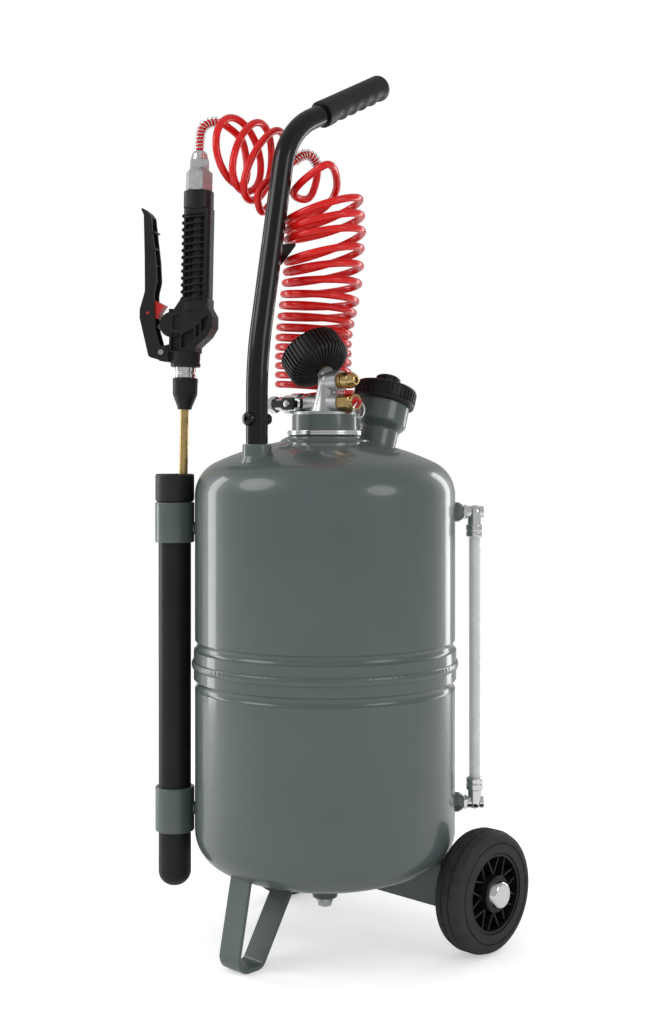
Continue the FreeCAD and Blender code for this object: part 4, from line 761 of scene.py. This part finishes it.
def grip_surface():
    """Grip round its own axis: r = 14 mm, swelled to 14.2 at the collar, less a scallop under each
    finger, 2.6 mm cos^2(pi u / 17 mm) times the share of the surface that faces down, closed by a
    rounded end."""
    tip = GRIP_ROUND + 0.0075 * np.sin(np.linspace(0.1, math.pi / 2, 12))
    lengths = np.concatenate([np.linspace(0, GRIP_ROUND, 150), tip])
    around = np.linspace(0, 2 * math.pi, 96, endpoint=False)
    collar = 0.0142 - 0.0002 / (1 + np.exp(-(lengths - 0.0085) / 0.0004))
    end = np.sqrt(np.clip(1 - (np.clip(lengths - GRIP_ROUND, 0, 1) / 0.0076) ** 2, 0.0, 1))
    base = np.where(lengths > GRIP_ROUND, 0.0064 + 0.0076 * end, collar)
    phase = (lengths - 0.020) / 0.017
    scallop = np.where((phase > -0.5) & (phase < 4.5), np.cos(math.pi * phase) ** 2, 0.0)
    under = np.clip(np.cos(around), 0, 1) ** 1.5
    radius = base[:, None] - 0.0026 * scallop[:, None] * under[None, :]
    return around_axis(radius, lengths[:, None], around), tube_faces(len(lengths), len(around))


class CART_OT_handle(bpy.types.Operator):
    """Bent push handle with its grip, hose hook and bolt"""
    bl_idname = "cart.handle"
    bl_label = "Push handle"

    def execute(self, context):
        radius = context.scene.cart_sizes.handle_diameter / 2
        tube = swept(handle_path(), radius, 96, (1, 0, 0))
        hook = prism(rounded([(-0.072, 0.700), (-0.066, 0.702, 0.002), (-0.046, 0.723, 0.0015),
                              (-0.0455, 0.726, 0.001), (-0.072, 0.722)]), -0.0025, 0.0025)
        points, faces = hook
        hook = (np.stack([points[:, 2], points[:, 0] + AXIS_Y, points[:, 1]], axis=1), faces)
        piece("handle_bent_tube", together(tube, hook), "black_powder_coat", "root",
              ["handle_tube"])
        corner, end = [np.array([0.0, y + AXIS_Y, z]) for y, z in HANDLE_CORNERS[2:]]
        way = (end - corner) / np.linalg.norm(end - corner)
        grip = aimed(grip_surface(), end - way * (GRIP_LENGTH - 0.0042), way, (0, 0, -1))
        piece("handle_finger_grip", grip, "soft_rubber", "root", ["handle_grip"], 60.0)
        dress("black_powder_coat", "handle_bolt")
        return {"FINISHED"}


class CART_OT_undercarriage(bpy.types.Operator):
    """Strap foot, axle bracket, axle and spacers"""
    bl_idname = "cart.undercarriage"
    bl_label = "Foot and bracket"

    def execute(self, context):
        dress("gloss_enamel", "front_foot", "wheel_bracket")
        dress("zinc_plate", "axle", "wheel_spacers")
        return {"FINISHED"}


# Wheels

def tyre_surface(steps):
    """Solid tyre: a flat tread with two grooves, round shoulders and a ring groove in each sidewall."""
    width = WHEEL_WIDTH
    corners = [(0.041, 0.0), (0.0495, 0.0), (0.050, 0.0012, 0.0003), (0.051, 0.0012, 0.0003), (0.0515, 0.0),
               (0.0545, 0.0), (0.0600, 0.0030, 0.0045), (0.0625, 0.0100, 0.006), (0.0625, 0.0118),
               (0.0614, 0.0122), (0.0614, 0.0132), (0.0625, 0.0136)]
    mirrored = [(corner[0], width - corner[1]) + tuple(corner[2:]) for corner in corners[::-1]]
    return turned(rounded(corners + mirrored, 8), steps)


class CART_OT_wheels(bpy.types.Operator):
    """Both wheels: solid tyre, ribbed plastic centre and bright hub cap"""
    bl_idname = "cart.wheels"
    bl_label = "Wheels"

    def execute(self, context):
        steps = context.scene.cart_sizes.round_steps
        cap = rounded([(0, 0.043), (0.0125, 0.043, 0.003), (0.0145, 0.0361), (0.011, 0.0361),
                       (0.011, 0.040, 0.001), (0, 0.040)], 10)
        for side_name, side in (("right", 1), ("left", -1)):
            body = "wheel_" + side_name
            origin = (WHEEL_INNER * side, WHEEL_Y + AXIS_Y, WHEEL_Z)
            tyre = aimed(tyre_surface(steps), origin, (side, 0, 0), (0, 0, 1))
            piece("solid_tyre_" + side_name, tyre, "tyre_rubber_finish", body,
                  ["tyre_" + side_name], 50.0)
            hub = aimed(turned(cap, 96), origin, (side, 0, 0), (0, 0, 1))
            piece("domed_hub_cap_" + side_name, hub, "chrome_plate", body,
                  ["hub_cap_" + side_name])
            dress("moulded_black", "wheel_rim_" + side_name)
        return {"FINISHED"}


class CART_OT_gun(bpy.types.Operator):
    """Spray gun with its trigger, latch and lance"""
    bl_idname = "cart.gun"
    bl_label = "Spray gun and lance"

    def execute(self, context):
        dress("moulded_black", "gun_shell_near", "gun_shell_far", "gun_trigger", "lance_nut")
        dress("red_moulding", "trigger_latch")
        inlet_finish()
        dress("inlet_aluminium", "gun_inlet")
        dress("chrome_plate", "gun_hose_nut", "lance_ring")
        dress("zinc_plate", "trigger_pin", "valve_pushrod")
        dress("turned_brass", "lance_tube", "lance_nozzle")
        return {"FINISHED"}


# Curly hose

STRETCH = 1.0353
COIL_TURNS = 16
STACK_AWAY, FAN_AWAY = 0.0896, -0.0265
STACK_LEFT, FAN_LEFT = -0.0518, -0.0390
RIGHT_START, LEFT_START = 0.5795, 0.5872
STACK_PITCH, FAN_PITCH_RIGHT, FAN_PITCH_LEFT = 0.0103, 0.0166, 0.0096
HOOK_TURN, HOOK_STEP = 13, 0.013
FAN_FROM, FAN_OVER = 4.5, 8.5
HOSE_START = ((-0.076, 0.0, 0.563), (-0.088, 0.0, 0.563), (-0.097, 0.0, 0.563))
HOSE_TAIL = ((-0.078, 0.089, 0.564), (-0.068, 0.110, 0.567), (-0.0445, 0.1237, 0.571))
HOSE_TOP = ((0.0115, -0.027, 0.794), (-0.004, -0.062, 0.799), (-0.024, -0.047, 0.787),
            (-0.036, -0.027, 0.776), (-0.0168, 0.005, 0.775), (-0.009, 0.008, 0.7956),
            (-0.0074, 0.006, 0.813), (-0.0136, 0.000, 0.8229), (-0.023, -0.004, 0.8236),
            (-0.0323, -0.010, 0.8146), (-0.043, -0.015, 0.8069))
HOSE_LOOPS = ((-0.070, -0.0365, 0.781), (-0.060, -0.010, 0.7675), (-0.0426, 0.023, 0.8175),
              (-0.0526, -0.006, 0.8475), (-0.0826, -0.033, 0.793), (-0.070, -0.006, 0.7773),
              (-0.0571, 0.026, 0.8277), (-0.0727, -0.003, 0.8566), (-0.095, -0.032, 0.8056),
              (-0.0785, -0.003, 0.7851), (-0.070, 0.029, 0.8283), (-0.0965, 0.0, 0.8623),
              (-0.1117, -0.029, 0.8226), (-0.0892, 0.0, 0.7909), (-0.0839, 0.018, 0.824),
              (-0.0942, 0.014, 0.8464))
HOSE_END = ((-0.1033, 0.008, 0.8557), (-0.1125, 0.004, 0.8595), (-0.124, 0.001, 0.857),
            (-0.130, -0.001, 0.850), (-0.1310, -0.0021, 0.8366), (-0.1310, -0.0021, 0.8320),
            (-0.1312, -0.0022, 0.8276))
GUARD_END = (-0.1310, -0.0021, 0.8298)


def seen(points):
    """Rows of (right, away, up) from the tank's axis, as seen from the front corner, as (x, y, z)."""
    rows = np.asarray(points, float)
    c, s = math.cos(SIDE), math.sin(SIDE)
    return np.stack([c * rows[:, 0] - s * rows[:, 1], s * rows[:, 0] + c * rows[:, 1] + AXIS_Y, rows[:, 2]],
                    axis=1)


def coil_quarters(coil_radius):
    """Quarter points of the stack and the fan: the right-hand and left-hand ends of each turn rise by
    even pitches, and the middle of the coil moves towards the hook by 3u^2 - 2u^3."""
    rows = []
    for turn in range(COIL_TURNS):
        ends = [RIGHT_START + STACK_PITCH * min(k, 9) + FAN_PITCH_RIGHT * max(0, k - 9)
                for k in (turn, turn + 1)]
        left = LEFT_START + STACK_PITCH * min(turn, 8) + FAN_PITCH_LEFT * max(0, turn - 8)
        left += HOOK_STEP if turn >= HOOK_TURN else 0.0
        spread = math.sqrt((2 * coil_radius) ** 2 - (ends[0] - left) ** 2)
        quarters = ((1.0, 0.0, ends[0]), (0.5, -1.0, (ends[0] + left) / 2), (0.0, 0.0, left),
                    (0.5, 1.0, (left + ends[1]) / 2))
        for index, (share, side, up) in enumerate(quarters):
            blend = min(1.0, max(0.0, (turn + index / 4 - FAN_FROM) / FAN_OVER))
            blend = blend * blend * (3 - 2 * blend)
            away = STACK_AWAY + (FAN_AWAY - STACK_AWAY) * blend + coil_radius * side
            rows.append((STACK_LEFT + (FAN_LEFT - STACK_LEFT) * blend + spread * share, away, up))
    return rows


def turns(quarters):
    """Twelve spline points a turn from a coil's quarter points Q: C + STRETCH ((Q0 - C0) cos a +
    (Q1 - C1) sin a), where each C is the middle of its two neighbours and C goes evenly from C0 to
    C1.  The stretch makes up for the spline's line running inside its points."""
    spots = np.asarray(quarters, float)
    middles = spots.copy()
    middles[1:-1] = (spots[:-2] + spots[2:]) / 2
    middles[0] = spots[0] + middles[1] - spots[1]
    middles[-1] = middles[-2]
    share = np.array([0.0, 1.0, 2.0])[None, :, None] / 3
    angle = share * math.pi / 2
    centre = middles[:-1, None, :] * (1 - share) + middles[1:, None, :] * share
    arms = (spots[:-1] - middles[:-1])[:, None, :] * np.cos(angle)
    arms = arms + (spots[1:] - middles[1:])[:, None, :] * np.sin(angle)
    return (centre + STRETCH * arms).reshape(-1, 3)


def hose_points(coil_radius):
    """Spline points of the whole hose, from the ball valve to the spray gun."""
    start = np.array(HOSE_START) + (0, AXIS_Y, 0)
    stack = turns(coil_quarters(coil_radius) + list(HOSE_TOP[:2]))
    loops = turns(HOSE_LOOPS)
    return np.concatenate([start, seen(HOSE_TAIL), seen(stack), seen(HOSE_TOP[1:]), seen(loops),
                           seen(HOSE_END)])


def spline_object(name, points, radius):
    """Open NURBS curve of order 3 through to both of its ends."""
    curve = bpy.data.curves.new(name, "CURVE")
    curve.dimensions = "3D"
    spline = curve.splines.new("NURBS")
    spline.points.add(len(points) - 1)
    spline.points.foreach_set("co", np.column_stack([points, np.ones(len(points))]).ravel())
    spline.order_u = 3
    spline.use_endpoint_u = True
    curve.resolution_u = 5
    curve.bevel_depth = radius
    curve.bevel_resolution = 5
    curve.use_fill_caps = True
    thing = bpy.data.objects.new(name, curve)
    bpy.context.scene.collection.objects.link(thing)
    return thing


def guard_spring(line, first, last, pitch, radius=0.0053, wire=0.0006):
    """Close spring round a stretch of the line: p + r (n cos a + m sin a), where a grows by a full
    turn each pitch, as a round wire swept along that."""
    spots = line[first:last + 1]
    steps = np.linalg.norm(np.diff(spots, axis=0), axis=1)
    along = np.concatenate([[0], np.cumsum(steps)])
    count = int(along[-1] / pitch * 20)
    places = np.linspace(0, along[-1], count)
    centre = np.stack([np.interp(places, along, spots[:, k]) for k in range(3)], axis=1)
    side, over = square_to(centre, seen([(0, 1, 0)])[0] - (0, AXIS_Y, 0))
    angle = (places / pitch * 2 * math.pi)[:, None]
    out = side * np.cos(angle) + over * np.sin(angle)
    return swept(centre + radius * out, wire, 8, out)


class CART_OT_hose(bpy.types.Operator):
    """Curly hose from the ball valve over the hook to the spray gun, with its two spring guards"""
    bl_idname = "cart.hose"
    bl_label = "Curly hose"

    def execute(self, context):
        sizes = context.scene.cart_sizes
        points = hose_points(sizes.coil_radius)
        hose = spline_object("curly_hose", points, sizes.hose_diameter / 2)
        hose.data.materials.append(material("red_polyurethane"))
        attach(hose, "root")
        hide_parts("spiral_hose")
        line = drawn(context, spline_object("line", points, 0.0))[0]

        def nearest(spot):
            return int(np.argmin(np.linalg.norm(line - seen([spot])[0], axis=1)))

        crossing = guard_spring(line, nearest(HOSE_TOP[6]), nearest(HOSE_TOP[9]), sizes.guard_pitch)
        at_gun = guard_spring(line, nearest(HOSE_END[1]), nearest(GUARD_END), sizes.guard_pitch)
        guards = piece("spring_guards", together(crossing, at_gun), "chrome_plate", "root",
                       ["hose_guards"], 80.0)
        return {"FINISHED"}


# Stage

class CART_OT_stage(bpy.types.Operator):
    """Pale floor, soft studio lamps and the photograph's camera"""
    bl_idname = "cart.stage"
    bl_label = "Floor, lamps and camera"

    def execute(self, context):
        scene = context.scene
        white = Finish("pale_floor", {"Base Color": (0.9, 0.9, 0.9, 1.0), "Roughness": 0.6,
                                      "Emission Strength": 1.0})
        seen_directly = white.number("ShaderNodeLightPath", {}, {}, "Is Camera Ray")
        white.connect(white.shader, {"Emission Color": FLOOR_LIFT * seen_directly})
        mesh = bpy.data.meshes.new("studio_floor")
        mesh.from_pydata([(-6, -6, -0.0005), (6, -6, -0.0005), (6, 6, -0.0005), (-6, 6, -0.0005)], [],
                         [(0, 1, 2, 3)])
        mesh.materials.append(white.material)
        floor = bpy.data.objects.new("studio_floor", mesh)
        scene.collection.objects.link(floor)
        self.lamp("key_lamp", (-1.0, -2.2, 2.0), (1.6, 1.6), 19.0)
        self.lamp("side_lamp", (2.4, 0.2, 1.3), (1.2, 1.2), 9.0)
        self.lamp("left_strip", (-1.4, -0.57, 0.6), (0.35, 1.5), 7.0)
        self.lamp("right_strip", (0.1, 1.7, 0.6), (0.35, 1.5), 7.0)
        world = bpy.data.worlds.new("studio_air")
        world.use_nodes = True
        nodes = world.node_tree.nodes
        back = nodes["Background"]
        back.inputs["Color"].default_value = (1.0, 1.0, 1.0, 1.0)
        path = nodes.new("ShaderNodeLightPath")
        reflected = nodes.new("ShaderNodeMapRange")
        reflected.inputs["To Min"].default_value = WORLD_LIGHT
        reflected.inputs["To Max"].default_value = WORLD_REFLECTED
        direct = nodes.new("ShaderNodeMix")
        direct.inputs["B"].default_value = 1.0
        links = world.node_tree.links
        links.new(path.outputs["Is Glossy Ray"], reflected.inputs["Value"])
        links.new(path.outputs["Is Camera Ray"], direct.inputs["Factor"])
        links.new(reflected.outputs["Result"], direct.inputs["A"])
        links.new(direct.outputs["Result"], back.inputs["Strength"])
        scene.world = world
        scene.view_settings.view_transform = "Standard"
        camera = bpy.data.cameras.new("photo_camera")
        camera.sensor_width = 36.0
        camera.lens = FOCAL_PIXELS / FRAME_PIXELS * camera.sensor_width
        camera.shift_x = -1.5 / FRAME_PIXELS
        camera.shift_y = -62.0 / FRAME_PIXELS
        thing = bpy.data.objects.new("photo_camera", camera)
        thing.location = (CAMERA_AWAY * math.sin(SIDE), -CAMERA_AWAY * math.cos(SIDE) + AXIS_Y, CAMERA_Z)
        thing.rotation_euler = (math.pi / 2, 0.0, SIDE)
        scene.collection.objects.link(thing)
        scene.camera = thing
        return {"FINISHED"}

    def lamp(self, name, place, size, power):
        """Soft rectangular lamp, this wide and high, that points at the middle of the cart."""
        light = bpy.data.lights.new(name, "AREA")
        light.shape = "ELLIPSE" if size[0] == size[1] else "RECTANGLE"
        light.size, light.size_y = size
        light.energy = power
        thing = bpy.data.objects.new(name, light)
        towards = Vector((0.0, 0.0, 0.45)) - Vector(place)
        thing.location = place
        thing.rotation_euler = towards.to_track_quat("-Z", "Y").to_euler()
        bpy.context.scene.collection.objects.link(thing)


class CART_PT_panel(bpy.types.Panel):
    """Lists the cart's groups of pieces"""
    bl_idname = "CART_PT_panel"
    bl_label = "Wheeled sprayer cart"
    bl_space_type = "VIEW_3D"
    bl_region_type = "UI"
    bl_category = "Sprayer"

    def draw(self, context):
        for group in (context.scene.cart_sizes, context.scene.cart_colours):
            for name in group.__annotations__:
                self.layout.prop(group, name)
        for operator in OPERATORS:
            self.layout.operator(operator.bl_idname)


OPERATORS = (CART_OT_tank, CART_OT_filler, CART_OT_fittings, CART_OT_gauge, CART_OT_level_tube,
             CART_OT_holder, CART_OT_handle, CART_OT_undercarriage, CART_OT_wheels, CART_OT_gun,
             CART_OT_hose, CART_OT_stage)
CLASSES = (CartSizes, CartColours) + OPERATORS + (CART_PT_panel,)


def register():
    """Register the classes and hang the settings on the scene."""
    for item in CLASSES:
        bpy.utils.register_class(item)
    bpy.types.Scene.cart_sizes = PointerProperty(type=CartSizes)
    bpy.types.Scene.cart_colours = PointerProperty(type=CartColours)


def unregister():
    """Take the settings and classes away again."""
    del bpy.types.Scene.cart_colours
    del bpy.types.Scene.cart_sizes
    for item in reversed(CLASSES):
        bpy.utils.unregister_class(item)


def main():
    """Build every piece in order."""
    register()
    bpy.ops.cart.tank()
    bpy.ops.cart.filler()
    bpy.ops.cart.fittings()
    bpy.ops.cart.gauge()
    bpy.ops.cart.level_tube()
    bpy.ops.cart.holder()
    bpy.ops.cart.handle()
    bpy.ops.cart.undercarriage()
    bpy.ops.cart.wheels()
    bpy.ops.cart.gun()
    bpy.ops.cart.hose()
    bpy.ops.cart.stage()


if __name__ == "__main__":
    main()
